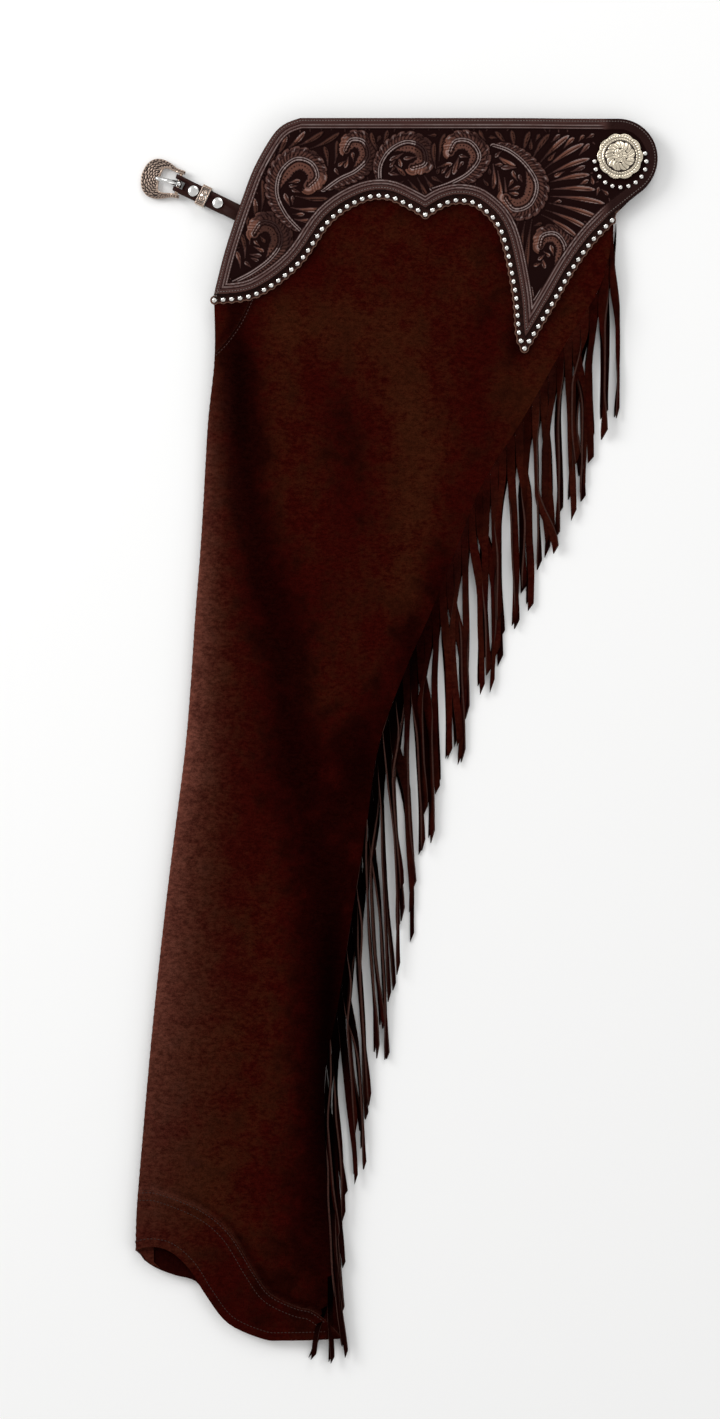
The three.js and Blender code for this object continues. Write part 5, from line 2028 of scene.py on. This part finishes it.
MOTIFS = (
    # In the front tip, and up the front edge.
    *spray(
        (12.5, -1, 8.0, ((-143, 142), (-127, 134), (-111, 122), (-102, 108), (-106, 95), (-117, 92),
                         (-124, 101))),
        (-147, 145, -131, 140, 2, 2.2, 0.5), (-136, 131, -140, 116, -2, 2.2),
        (-132, 122, -136, 100, -3, 2.3), (-128, 110, -131, 85, -3, 2.4), (-124, 96, -124, 70, -3, 2.4),
        (-118, 82, -117, 54, -3, 2.4), (-114, 132, -102, 137, 1.5, 2, 0.5),
        (-106, 126, -94, 130, 1.5, 2, 0.5),
    ),
    # Round the front of the arch.
    *spray(
        (12.5, 1, 9.0, ((-82, 98), (-95, 84), (-103, 66), (-100, 48), (-88, 37), (-75, 40), (-70, 51),
                        (-77, 59))),
        (-88, 96, -77, 100, 1.5, 2.2, 0.5), (-90, 88, -70, 89, -2, 2.3), (-92, 78, -66, 79, -3, 2.4),
        (-88, 68, -60, 70, -3, 2.4), (-82, 62, -58, 60, -2.5, 2.3), (-112, 46, -107, 25, -2, 2.4),
        (-106, 36, -96, 15, -2.5, 2.4), (-98, 29, -80, 12, -2.5, 2.4), (-88, 25, -64, 12, -2.5, 2.4),
        (-76, 27, -50, 13, -3, 2.3),
    ),
    # Along the top of the arch.
    *spray(
        (11.0, -1, 7.0, ((-64, 62), (-50, 52), (-36, 45), (-26, 34), (-29, 22), (-39, 20), (-44, 28))),
        (-60, 42, -63, 25, -2, 2.3), (-54, 40, -52, 20, -2, 2.3), (-56, 62, -44, 60, -1.5, 2, 0.5),
    ),
    *spray(
        (11.0, 1, 8.0, ((-13, 57), (-13, 42), (-5, 29), (9, 22), (22, 27), (24, 39), (14, 43))),
        (-17, 52, -26, 58, 1, 2, 0.5), (-16, 30, -22, 13, 2, 2.3), (-12, 24, -8, 11, -1, 2.1),
        (2, 58, 12, 66, 1.5, 2.3), (10, 54, 20, 69, 1.5, 2.3), (18, 52, 27, 71, 1, 2.3),
        (24, 50, 36, 66, -1.5, 2.3),
    ),
    # Over the back arch.
    *spray(
        (11.5, -1, 7.5, ((31, 61), (46, 56), (62, 47), (71, 34), (64, 22), (52, 21), (47, 30))),
        (34, 44, 33, 22, 2, 2.3), (37, 38, 42, 14, 2, 2.4), (42, 30, 54, 12, 2, 2.3),
        (50, 66, 60, 66, -1, 2, 0.5),
    ),
    # Down to the back tip.
    *spray(
        (10.5, -1, 7.0, ((118, 160), (128, 146), (140, 130), (146, 114), (139, 102), (128, 103), (125, 112))),
        (84, 40, 84, 62, 2, 2.3), (88, 46, 90, 74, 2, 2.4), (94, 52, 95, 86, 2, 2.4), (78, 20, 72, 11, 1, 2),
        (100, 88, 98, 100, -1, 2.2), (106, 90, 103, 112, -2, 2.4), (112, 90, 108, 124, -2, 2.4),
        (118, 88, 113, 134, -2, 2.4), (121, 190, 113, 172, 1.5, 1.9, 0.5), (122, 182, 116, 158, 1.5, 2.2),
        (120, 184, 128, 160, 2, 2.3), (121, 174, 117, 146, 1.5, 2.2),
    ),
    # Out to the concho.
    *spray(
        (12.5, 1, 9.0, ((84, 25), (98, 30), (112, 42), (121, 58), (116, 74), (103, 79), (95, 70))),
        (96, 26, 86, 12, -2, 2.3), (102, 28, 100, 11, -1.5, 2.4), (110, 32, 116, 12, 1.5, 2.5),
        (118, 36, 133, 14, 2, 2.6), (124, 40, 150, 15, 2.5, 2.7), (128, 45, 163, 22, 3, 2.7),
        (131, 50, 168, 35, 3, 2.6), (133, 56, 168, 49, 2.5, 2.6), (134, 62, 173, 62, 2.5, 2.6),
        (134, 68, 181, 74, 3, 2.6), (133, 74, 177, 87, 3, 2.6), (130, 80, 168, 97, 3, 2.5),
        (126, 84, 158, 104, 3, 2.4),
    ),
)


@dataclass
class Yoke:
    """A tooled yoke: carved leather of its full thickness."""

    tooling: Tooling  # What is carved on it
    near: bool = True  # Whether it is the near yoke; the far one lies tooled side down
    spacing: float = 0.82  # The distance between the points of its carved face
    leather: float = 4.0  # Its thickness
    floor: float = 0.25  # How far the far yoke's face lies above the floor

    def build(self) -> Object:
        """Makes the yoke.

        Returns:
            The piece.
        """
        net = fine_net([PATTERN.yoke_outline(0, PATTERN.yoke_edge)], self.spacing)
        carving = self.tooling.carve(net.places)
        # A highlight is painted on the raised leather, away from the cuts.
        lit = step(carving.rise, -0.02, 0.24) * (1 - carving.cut)
        values = {"cut": carving.cut, "warm": carving.warm, "lit": lit}
        top = yoke_face("yoke")
        heights = top.at(net.places) + carving.rise if self.near else self.floor - carving.rise
        mesh = backed(
            net, DRAWING.metres(net.places, heights),
            lambda p: DRAWING.metres(p, top.at(p) - self.leather if self.near else self.leather), values,
        )
        if not self.near:
            mesh.faces = [face[::-1] for face in mesh.faces]
        node = "yoke" if self.near else "far_yoke"
        return seat(mesh.piece(f"{node}_tooled", Finish.TOOLED, Finish.YOKE_EDGE), Slot.TOOLED, node)


@dataclass
class Underlay:
    """The smooth strip under the yoke's lower edge, scalloped round its nailheads."""

    inset: float = 1.2  # How far inside the yoke's top edge it lies
    scallop: float = 3.9  # Each scallop's radius
    dish: Pair = (3.6, 2.6)  # The radii between which the leather sinks under a nailhead
    nail: Triple = (5.0, 5.0, 4.2)  # A nailhead's length, width and height
    leather: float = 1.5  # Its thickness
    # The distance between its points, and the distance along its edge
    spacing: Pair = (2.3, 1.0)

    def build(self) -> None:
        """Makes the underlay and its nailheads."""
        strip, nails = PATTERN.yoke_outline(self.inset, PATTERN.underlay_edge), PATTERN.nail_rows()
        heads = np.vstack(nails)
        ring = circle(np.linspace(0, 2 * math.pi, 17)[:-1]) * self.scallop
        net = fine_net([strip, *(ring + head for head in heads)], *self.spacing)
        top = yoke_face("yoke_underlay")
        depth = distance_to(net.places, strip, closed=True)[2] * np.where(inside(net.places, strip), 1, -1)
        from_nail = np.min([np.hypot(*(net.places - head).T) for head in heads], axis=0)
        depth = np.maximum(depth, self.scallop - from_nail)
        rise = top.at(net.places)
        upper = rise - 0.35 * step(depth, 0.9, 0.0) - 0.35 * step(from_nail, *self.dish)
        outer, inner = (DRAWING.metres(net.places, z) for z in (upper, rise - self.leather))
        mesh = walled(net, outer, inner, {"worn": 0.95 * step(depth, 1.3, 0.2) * (from_nail < 12)})
        piece = mesh.piece("yoke_underlay_leather", Finish.UNDERLAY, Finish.UNDERLAY)
        seat(piece, Slot.UNDERLAY, "yoke_underlay")
        lines = [DRAWING.metres(row, top.at(row) + 0.1) for row in nails]
        seat(Row("nailheads", Repeat.NAIL, 0, self.nail, Finish.NAIL, 14).build(lines), Slot.SILVER)


@dataclass
class YokeStitches:
    """The thread in the channel round the yoke's edge, with its distance in and its pitch."""

    inset: float = 2.3
    pitch: float = 2.5

    def build(self) -> None:
        """Sews the row."""
        line = densified(PATTERN.yoke_outline(self.inset, PATTERN.yoke_edge - self.inset), 4)
        line = np.vstack([line, line[:1]])
        points = DRAWING.metres(line, yoke_face("yoke").at(line) - 0.1)
        row = Row("yoke_stitches", Repeat.STITCH, self.pitch, (2.0, 0.8, 0.7), Finish.PALE_THREAD, 6)
        seat(row.build([points]), Slot.TOOLED)


# ---- Hardware ----


@dataclass(frozen=True)
class Placing:
    """A small part's own frame, drawn in mm with the same x and drop as the leather."""

    matrix: Matrix

    @classmethod
    def at_foot(cls, node: str) -> "Placing":
        """A frame at the middle of a CAD node's underside."""
        low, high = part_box(node)
        return cls(Matrix.Translation(((low.x + high.x) / 2, (low.y + high.y) / 2, low.z)))

    @classmethod
    def at_bar(cls, turn: Pair, along: float = 0.0) -> "Placing":
        """A frame on the buckle's bar, or moved along it.

        Args:
            turn: Its turn about Z and its tilt about Y, in degrees.
            along: How far it is moved along its own X, in mm.

        Returns:
            The frame.
        """
        joint = next(j for j in frame["joints"] if j["name"] == "buckle_hinge")
        about, tilt = (math.radians(angle) for angle in turn)
        turned = Matrix.Rotation(about, 4, "Z") @ Matrix.Rotation(tilt, 4, "Y")
        moved = Matrix.Translation(Vector((along, 0, 0)) * MM)
        return cls(Matrix.Translation(joint["pos_m"]) @ turned @ moved)

    def metres(self, places: Array, heights: Array | float) -> Array:
        """Points in the frame, in metres, from the part's own places and heights."""
        local = np.stack([places[:, 0], -places[:, 1], np.broadcast_to(heights, len(places))], 1) * MM
        return local @ np.array(self.matrix.to_3x3()).T + np.array(self.matrix.translation)


def lathe(profile: Places, placing: Placing, around: int) -> Mesh:
    """A round solid.

    Args:
        profile: Radius and height, in mm, from its foot to its top; it starts and ends on the axis.
        placing: Its frame, whose Z is its axis.
        around: How many facets go round.

    Returns:
        The mesh.
    """
    ring = circle(-np.arange(around) * 2 * math.pi / around)
    rings = [placing.metres(ring * radius, height) for radius, height in profile[1:-1]]
    foot, head = (placing.metres(np.zeros((1, 2)), profile[i][1]) for i in (0, -1))
    faces: list[Sequence[int]] = []
    last = 1 + (len(rings) - 1) * around
    for k in range(around):
        j = (k + 1) % around
        sides = [(a + k, a + j, a + around + j, a + around + k) for a in range(1, last, around)]
        faces += [(0, 1 + j, 1 + k), *sides, (last + k, last + j, last + around)]
    return Mesh(np.vstack([foot, *rings, head]), faces, [0] * len(faces))


def softened(node: str, name: str, width: float, finish: Finish) -> Object:
    """A copy of a CAD solid with its edges rounded.

    Args:
        node: The CAD node.
        name: The new piece's name.
        width: The rounding, in mm.
        finish: Its finish.

    Returns:
        The piece, not yet seated.
    """
    work = bmesh.new()
    work.from_mesh(frame["nodes"][node].data)
    bmesh.ops.remove_doubles(work, verts=work.verts, dist=1e-6)
    bmesh.ops.dissolve_limit(work, angle_limit=math.radians(1), verts=work.verts, edges=work.edges)
    folds = [e for e in work.edges if len(e.link_faces) == 2 and e.calc_face_angle() > math.radians(30)]
    bmesh.ops.bevel(work, geom=folds, offset=width * MM, segments=2, affect="EDGES", clamp_overlap=True)
    bmesh.ops.triangulate(work, faces=work.faces)
    mesh = bpy.data.meshes.new(name)
    work.to_mesh(mesh)
    work.free()
    dress(mesh, [finish])
    mesh.polygons.foreach_set("material_index", [0] * len(mesh.polygons))
    mesh.set_sharp_from_angle(angle=math.radians(50))
    return put(name, mesh)


@dataclass
class Concho:
    """The lobed, domed concho on the yoke's round end, and the studs that show round it."""

    radius: float = 19.0  # Its radius between its lobes
    lobe: float = 1.2  # How far its lobes stand out
    lobes: int = 10  # How many lobes it has
    plate: float = 1.4  # Its plate's thickness
    # The radius of the ring of beads, and their half width and number
    beads: tuple[float, float, int] = (17.4, 0.78, 46)
    # The radius of the rope ring, its half width, how many strands it has and how far they slant
    rope: tuple[float, float, int, float] = (14.7, 0.85, 40, 2.4)
    # The radius of its dome, and the half width, the height and the sinking of the oval that the dome follows
    dome: Four = (13.8, 14.6, 3.5, 0.55)
    engraved: Pair = (13.6, 0.6)  # The radius of the engraving on the dome, and its depth
    # Rings of petals: how many, their lean, where they start and end, how far their ends curve in, and
    # the radius at which their veins have their full width
    petals: tuple[tuple[float, ...], ...] = ((9, 0.07, 6.6, 13.0, 1.5, 9), (6, -0.08, 2.3, 6.4, 1.2, 5))
    button: float = 1.9  # The radius of the button at its middle
    grooves: Pair = (13.7, 15.9)  # The radii of the dark grooves on both sides of the rope
    spacing: float = 0.42  # The distance between its points
    studs: int = 12  # How many studs show round it
    # A stud's profile, as radius and height
    stud: Places = ((0, 0), (2.0, 0), (2.05, 0.35), (1.85, 0.85), (1.4, 1.35), (0.75, 1.65), (0, 1.75))

    def relief(self, places: Array) -> tuple[Array, Array]:
        """Its beaded rim, rope ring and engraved dome.

        Args:
            places: The places of its face.

        Returns:
            Their heights, in mm, and their antiquing.
        """
        r, t = np.hypot(*places.T), np.arctan2(places[:, 1], places[:, 0]) / (2 * math.pi)
        edge = self.radius + self.lobe * np.abs(np.cos(math.pi * self.lobes * t)) - r
        at, size, count = self.beads
        across = (count * t % 1 - 0.5) * 2 * math.pi * at / count
        bead = hump(r, size, at) * hump(across, size)
        height = self.plate + 0.25 * hump(edge, 0.5, 0.8) + 0.85 * bead - 0.5 * step(edge, 0.5, 0.0)
        cut = 0.7 * hump(r, 1.3, at) * (1 - bead) ** 2
        at, size, strands, slant = self.rope
        rope = 0.5 + 0.5 * np.cos(2 * math.pi * (strands * t + (r - at) / slant))
        ring = hump(r, size, at)
        height += ring * (0.55 + 0.25 * rope)
        cut = np.maximum(cut, ring * 0.7 * (1 - rope) ** 2)
        radius, half, top, sinking = self.dome
        dome = np.sqrt(np.clip(1 - (r / half) ** 2, 0, 1))
        height = np.where(r < radius, self.plate + top * dome - sinking, height)
        raised = (r < self.button).astype(float)
        for count, lean, start, end, curve, full in self.petals:
            line = np.abs(2 * ((count * t + lean * r) % 1) - 1)
            figure = step(line, 1.0, 0.86) * (1 - 0.8 * step(line * r / full, 0.16, 0.05))
            raised += np.where((r > start) & (r < end - curve * line**2), figure, 0.0)
        radius, depth = self.engraved
        height += np.where(r < radius, depth * raised, 0)
        cut = np.where(r < radius, 0.95 * (1 - raised), cut)
        inner, outer = self.grooves
        cut = np.maximum.reduce([cut, 0.95 * hump(r, 0.35, inner), 0.9 * hump(r, 0.3, outer)])
        return height, np.clip(cut, 0, 1)

    def build(self) -> None:
        """Makes the concho and its studs."""
        placing = Placing.at_foot("concho")
        turns = np.linspace(0, 2 * math.pi, 241)[:-1]
        radius = self.radius + self.lobe * np.abs(np.cos(turns * self.lobes / 2))
        net = fine_net([circle(turns) * radius[:, None]], self.spacing)
        height, cut = self.relief(net.places)
        face = placing.metres(net.places, height)
        mesh = backed(net, face, lambda p: placing.metres(p, 0.0), {"cut": cut}, 3.0)
        seat(mesh.piece("concho_silver", Finish.GILT, Finish.GILT), Slot.SILVER, "concho")
        nodes = [f"concho_stud_{i}" for i in range(1, self.studs + 1)]
        domes = joined([lathe(self.stud, Placing.at_foot(node), 20) for node in nodes])
        piece = domes.piece("concho_studs", Finish.NAIL)
        piece.data.set_sharp_from_angle(angle=math.radians(60))
        seat(piece, Slot.SILVER, *nodes)


@dataclass
class Buckle:
    """The buckle on its strap: frame, tongue, strap, keeper and screws."""

    # The frame's half widths, along its length from its bar
    outline: Places = ((-3.2, 12.3), (4, 13), (12, 16.3), (19, 17.5), (26, 15.8), (31.4, 9.6), (33.6, 0))
    window: Places = ((-6, 9.4), (4, 9.4), (12, 10.8), (16.2, 9), (17.6, 0))  # The same for its window
    plate: Pair = (1.0, -1.6)  # The heights of the frame's plain upper face and of its lower face
    middle: float = 10  # What its scrolls turn about, from its bar
    strands: int = 44  # How many strands its rope rim has
    shoulders: Triple = (0.9, 4.6, 3.0)  # How far it rises beside its bar, and where it starts to and has
    # The bar's profile, as radius and height
    bar: Places = ((0, -11), (1.2, -11), (1.5, -10.7), (1.5, 10.7), (1.2, 11), (0, 11))
    strap_turn: Pair = (153.4, 5.6)  # The strap's turn about Z and its tilt, in degrees
    buckle_turn: Pair = (165.4, 3.4)  # The same for the frame
    # The keeper's place along the strap, its length and its width
    keeper: Triple = (-25, 8.6, 18.6)
    keeper_faces: Pair = (4.15, 3.5)  # The heights of its engraved face and of the band under it
    # How far its two rings lie from its middle, and the radii of a ring and of the dot inside it
    keeper_rings: Triple = (2.9, 1.9, 0.7)
    keeper_ridges: Pair = (5.9, 1.5)  # How far from its middle its ridges start, and their pitch
    screws: Pair = (-15, -39)  # The screws' places along the strap
    # A screw's profile
    screw: Places = ((0, -3.3), (4.4, -3.3), (4.5, -2.6), (1.9, -2.5), (1.9, 2.5), (4.9, 2.5), (4.95, 2.85),
                     (4.5, 3.35), (3.6, 3.75), (2.4, 4.0), (1.2, 4.12), (0, 4.15))

    @staticmethod
    def mirrored(halves: Places) -> Array:
        """A closed outline that is the same on both sides, from its half widths."""
        side = smooth_path(halves, 6)
        return np.vstack([side, (side * [1, -1])[-2::-1]])

    def build(self) -> None:
        """Makes every piece."""
        self.frame_plate()
        tongue = softened("buckle_tongue", "buckle_tongue_silver", 0.4, Finish.STEEL)
        seat(tongue, Slot.SILVER, "buckle_tongue", body=Body.TONGUE)
        self.strap()
        self.keeper_band()
        for number, x in enumerate(self.screws, 1):
            head = lathe(self.screw, Placing.at_bar(self.strap_turn, x), 28)
            piece = head.piece(f"strap_screw_{number}_dome", Finish.STEEL)
            piece.data.set_sharp_from_angle(angle=math.radians(50))
            seat(piece, Slot.SILVER, f"strap_screw_{number}")

    def frame_plate(self) -> None:
        """The horseshoe frame, with a rope rim and engraved scrolls, and its bar."""
        placing = Placing.at_bar(self.buckle_turn)
        outline, window = self.mirrored(self.outline), self.mirrored(self.window)
        hole = window[window[:, 0] > -3.0]
        corner = [(self.outline[0][0], self.window[0][1])]
        upper = np.vstack([outline[outline[:, 1] >= 0], hole[hole[:, 1] >= 0][::-1], corner])
        net = fine_net([upper, upper * [1, -1]], 0.5)
        from_rim, from_window = (distance_to(net.places, path)[2] for path in (outline, hole))
        x, side = net.places.T
        turn = np.arctan2(side, x - self.middle)
        rope = 0.5 + 0.5 * np.cos(turn * self.strands + from_rim * 1.6)
        rim, lip = hump(from_rim, 0.8, 1.1), hump(from_window, 0.5, 0.6)
        scroll = np.sin(turn * 9 + 1.2 * from_rim) * np.cos(turn * 6.5 - 1.5 * from_rim + 0.6)
        engraved = step(from_rim, 2.0, 2.5) * step(from_window, 1.0, 1.5)
        figure = step(np.abs(scroll), 0.3, 0.5)
        upper, lower = self.plate
        rise = upper + 0.35 * rim * (0.5 + rope) + 0.3 * lip + 0.28 * engraved * figure
        shoulder, *ends = self.shoulders
        rise += shoulder * step(x, *ends) - 0.4 * step(from_rim, 0.35, 0.0)
        cuts = (engraved * (1 - figure * 0.85), rim * (1 - rope * 0.7), 0.8 * hump(from_rim, 0.3, 2.1))
        outer, inner = (placing.metres(net.places, z) for z in (rise, lower))
        plate = walled(net, outer, inner, {"cut": np.clip(np.maximum.reduce(cuts), 0, 1)})
        along = Placing(placing.matrix @ Matrix.Rotation(math.pi / 2, 4, "X"))
        bar = lathe(self.bar, along, 20)
        bar.values = {"cut": np.zeros(len(bar.points))}
        piece = joined([plate, bar]).piece("buckle_frame_silver", Finish.BRONZE, Finish.BRONZE)
        seat(piece, Slot.SILVER, "buckle_frame", body=Body.BUCKLE)

    def strap(self) -> None:
        """The doubled strap, with its edges rubbed pale."""
        piece = softened("buckle_strap", "buckle_strap_leather", 0.3, Finish.STRAP)
        back = Placing.at_bar(self.strap_turn).matrix.inverted()
        across = np.array([abs((back @ v.co).y) for v in piece.data.vertices]) / MM
        store(piece.data, "worn", 0.9 * step(across, 6.4, 6.95))
        seat(piece, Slot.STRAP, "buckle_strap")

    def keeper_band(self) -> None:
        """The keeper: a plain band with an engraved face."""
        seat(softened("strap_keeper", "strap_keeper_band", 0.25, Finish.SILVER), Slot.SILVER, "strap_keeper")
        at, length, width = self.keeper
        placing = Placing.at_bar(self.strap_turn, at)
        half = np.array([length, width]) / 2 - 0.15
        net = fine_net([np.array([(1, 1), (-1, 1), (-1, -1), (1, -1)], float) * half], 0.36)
        x, side = np.abs(net.places).T
        edge = np.minimum(half[0] - x, half[1] - side)
        middle, radius, dot = self.keeper_rings
        ring = np.hypot(x, side - middle)
        rings = hump(ring, 0.55, radius) + (ring < dot)
        start, pitch = self.keeper_ridges
        ridges = step(np.cos(2 * math.pi * side / pitch), -0.2, 0.5) * (side > start)
        figure = np.clip(np.maximum.reduce([rings, ridges, hump(edge, 0.4, 0.5)]), 0, 1)
        face, band = self.keeper_faces
        outer = placing.metres(net.places, face + 0.45 * figure - 0.3 * step(edge, 0.3, 0.0))
        mesh = backed(net, outer, lambda p: placing.metres(p, band), {"cut": 0.95 * (1 - figure)}, 2.0)
        seat(mesh.piece("strap_keeper_face", Finish.BRONZE, Finish.BRONZE), Slot.SILVER)


# ---- The hidden side ----


@dataclass
class HiddenLayers:
    """What lies under the near leg's outer side: its inner side, and the folded far leg."""

    leg: NearLeg
    leather: float = 1.6  # Their thickness
    radius: float = 2.7  # The far leg's fold's outer radius
    spacing: float = 6.5  # The distance between their points
    pitch: float = 12.0  # The distance between the places where the front fold is followed
    inner_front: float = 16.3  # How far behind the near leg's fold its inner side starts
    # The heights of the near inner side and of the far leg beside the fold, how far each sinks behind it,
    # and the reaches where that starts and ends
    near_inner_height: Four = (7.15, 1.6, 20, 90)
    far_height: Four = (5.4, 1.85, 10, 90)
    gaps: Pair = (0.15, 0.08)  # The gaps over each of them
    # How far the far yoke lifts them, and the drops where that starts to end and has ended
    yoke_rise: Triple = (4.3, 205, 300)
    # Where the far leg's lowest side stands off the floor
    puffs: tuple[Crease, ...] = rows(
        Crease,
        ((-150, 300), (-170, 620), 26, 0.7, 10), ((-70, 330), (-60, 600), 24, 0.6, -8),
        ((-180, 660), (-196, 900), 22, 0.6, 6), ((-110, 640), (-120, 900), 26, 0.7, 9),
        ((10, 220), (20, 420), 22, 0.5, 6), ((-90, 900), (-110, 1020), 16, 0.5, 4),
    )

    def lift(self, drops: Array) -> Array:
        """How far the hidden layers lie over the far yoke."""
        height, *ends = self.yoke_rise
        return height * (1 - step(drops, *ends))

    def near_inner_top(self, places: Array) -> Array:
        """Finds the upper face of the near leg's inner side.

        Args:
            places: The places.

        Returns:
            The height at each place.
        """
        surface, drops = self.leg.surface, places[:, 1]
        reach = surface.reach(places)
        skin = surface.height(np.maximum(reach, self.radius), drops)
        room = skin + self.leg.rise(places) - self.leather - self.gaps[0]
        height, sinking, *ends = self.near_inner_height
        return np.minimum(room, height - sinking * step(reach, *ends) + self.lift(drops))

    def far_top(self, places: Array) -> Array:
        """Finds the upper face of the far leg's inner side.

        Args:
            places: The places.

        Returns:
            The height at each place.
        """
        height, sinking, *ends = self.far_height
        lying = height - sinking * step(self.leg.surface.reach(places), *ends) + self.lift(places[:, 1])
        return np.minimum(lying, self.near_inner_top(places) - self.leather - self.gaps[1])

    def dye_and_painted_light(self, places: Array, shade: float) -> Values:
        """Painted shade over an even dye, deeper along the hem.

        Args:
            places: The places.
            shade: How much shade is painted on it.

        Returns:
            How brown each is dyed, how much shade is painted on it, and how pale it is.
        """
        # Painted shadow in the fold's mouth along the hem.
        near_hem = hump(distance_to(places, smooth_path(PATTERN.hem))[2], 16)
        return {"patch": np.full(len(places), 0.35), "shade": shade + 0.5 * near_hem,
                "worn": np.zeros(len(places))}

    def near_inner(self) -> Object:
        """Makes the near leg's inner side.

        Returns:
            The piece.
        """
        left = self.leg.surface.fold_line(self.inner_front, self.pitch)
        net = fine_net([PATTERN.leg_outline(PATTERN.hidden_hem, 1.0, left)], self.spacing)
        top = self.near_inner_top(net.places)
        outer, inner = (DRAWING.metres(net.places, z) for z in (top, top - self.leather))
        # The near inner side lies under the outer side, painted in shade.
        mesh = walled(net, outer, inner, self.dye_and_painted_light(net.places, 0.5))
        piece = mesh.piece("near_leg_inner_side", Finish.FLESH_SIDE, Finish.CUT_EDGE)
        return seat(piece, Slot.HIDDEN_SUEDE, "folded_layers")

    def far_leg(self) -> Object:
        """Makes the far leg, folded down its front: its inner side above and its outer side below.

        Returns:
            The piece.
        """
        surface, middle = self.leg.surface, self.radius * (1 - math.pi / 2)
        half = PATTERN.leg_outline(PATTERN.hidden_hem, 2.2, surface.fold_line(middle, self.pitch))
        half = densified(half, self.spacing)
        other = pairs(2 * (surface.fold_at(half[:, 1]) + middle) - half[:, 0], half[:, 1])
        net = fine_net([half, other], self.spacing)
        outer, inner = (self.wrapped(net.places, inset) for inset in (0.0, self.leather))
        # The far leg is painted in lighter shade.
        mesh = walled(net, outer, inner, self.dye_and_painted_light(net.places, 0.15))
        return seat(mesh.piece("far_leg_suede", Finish.SUEDE, Finish.CUT_EDGE), Slot.HIDDEN_SUEDE)

    def wrapped(self, places: Array, inset: float) -> Array:
        """Points of the far leg's skin: flat above, round the fold, and flat below.

        Args:
            places: The flat places.
            inset: How far below the outer face the points lie.

        Returns:
            The points, in metres.
        """
        drops, surface = places[:, 1], self.leg.surface
        above, x, turned, under = surface.roll(places, self.radius, inset)
        behind_fold = np.maximum(places[:, 0], surface.fold_at(drops) + self.radius)
        floor = self.lift(drops) + creased(pairs(x, drops), self.puffs) * step(under, 20, 60)
        top = self.far_top(pairs(behind_fold, drops)) - inset
        return DRAWING.metres(pairs(x, drops), np.where(above, top, floor + self.radius + turned))

    def build(self, fringe: Object) -> None:
        """Makes the hidden leather.

        Args:
            fringe: The far leg's fringe; not used.
        """
        inner = self.near_inner()
        far = self.far_leg()


# ---- The room and the camera ----


@dataclass(frozen=True)
class Studio:
    """A plain pale floor, soft lights and the camera straight above."""

    floor_size: float = 6.0  # How far the floor goes each way, in metres
    below: float = 0.0002  # How far it lies under the chaps, in metres
    surround: float = 0.62  # How bright the even surround is
    aim: Pair = (-31.9, 515.0)  # What the camera looks at, as x and drop
    lens: float = 100.0  # The camera's focal length
    sensor: float = 36.0  # Its sensor's width
    span: float = 1.2416  # The height that it takes in, in metres
    # Each light's name, place, size and power
    lights: tuple[tuple[str, Triple, float, float], ...] = (
        ("window_light", (-2.6, 1.5, 1.9), 1.6, 62.0),
        ("back_light", (0.8, 3.2, 2.4), 1.8, 30.0),
        ("fill_light", (2.6, -1.2, 2.4), 2.0, 10.0),
    )

    def build(self) -> None:
        """Makes the floor, the lights and the camera."""
        self.floor()
        for light in self.lights:
            self.light(*light)
        self.world()
        self.camera()

    def floor(self) -> None:
        """The floor that the chaps lie on."""
        corners = np.array([(-1, -1), (1, -1), (1, 1), (-1, 1)], float) * self.floor_size
        points = np.column_stack([corners, np.full(4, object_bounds()[0][2] - self.below)])
        Mesh(points, [(0, 1, 2, 3)], [0]).piece("floor", Finish.FLOOR)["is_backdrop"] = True

    @staticmethod
    def light(name: str, place: Triple, size: float, power: float) -> None:
        """A soft square light that faces the chaps.

        Args:
            name: Its name.
            place: Where it hangs, in metres.
            size: Its side, in metres.
            power: Its power.
        """
        lamp = bpy.data.lights.new(name, "AREA")
        lamp.size, lamp.energy = size, power
        thing = put(name, lamp)
        thing.location = place
        thing.rotation_euler = (-Vector(place)).to_track_quat("-Z", "Y").to_euler()

    def world(self) -> None:
        """An even, dim surround."""
        world = bpy.data.worlds.new("studio")
        world.use_nodes = True
        inputs = world.node_tree.nodes["Background"].inputs
        inputs["Color"].default_value = (1.0, 1.0, 1.0, 1.0)
        inputs["Strength"].default_value = self.surround
        bpy.context.scene.world = world

    def camera(self) -> None:
        """The camera, which looks straight down with the waist away from it."""
        data = bpy.data.cameras.new("camera")
        data.lens, data.sensor_width, data.sensor_fit, data.clip_end = self.lens, self.sensor, "AUTO", 50
        camera = put("camera", data)
        x, y, _ = DRAWING.metres(np.array([self.aim]), 0.0)[0]
        camera.location = (x, y, self.span * self.lens / self.sensor)
        bpy.context.scene.camera = camera


def main() -> None:
    """Builds the chaps in order."""
    logging.basicConfig(level=logging.INFO, format="%(name)s: %(message)s")
    bpy.context.scene.view_settings.view_transform = "Standard"
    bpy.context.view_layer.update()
    near_nodes = ("leg_panel", "front_thigh_piece", "hem_band")
    leg = NearLeg(LyingSurface(near_nodes, near_nodes))
    fringe = Fringe(leg, near=True, seed=11)
    leg.build(fringe.build(), fringe.area)
    HiddenLayers(leg).build(Fringe(leg, near=False, seed=29).build())
    Underlay().build()
    tooling = Tooling(MOTIFS).filled()
    Yoke(tooling).build()
    YokeStitches().build()
    Yoke(tooling, near=False, spacing=1.6).build()
    Concho().build()
    Buckle().build()
    Studio().build()


if __name__ == "__main__":
    main()
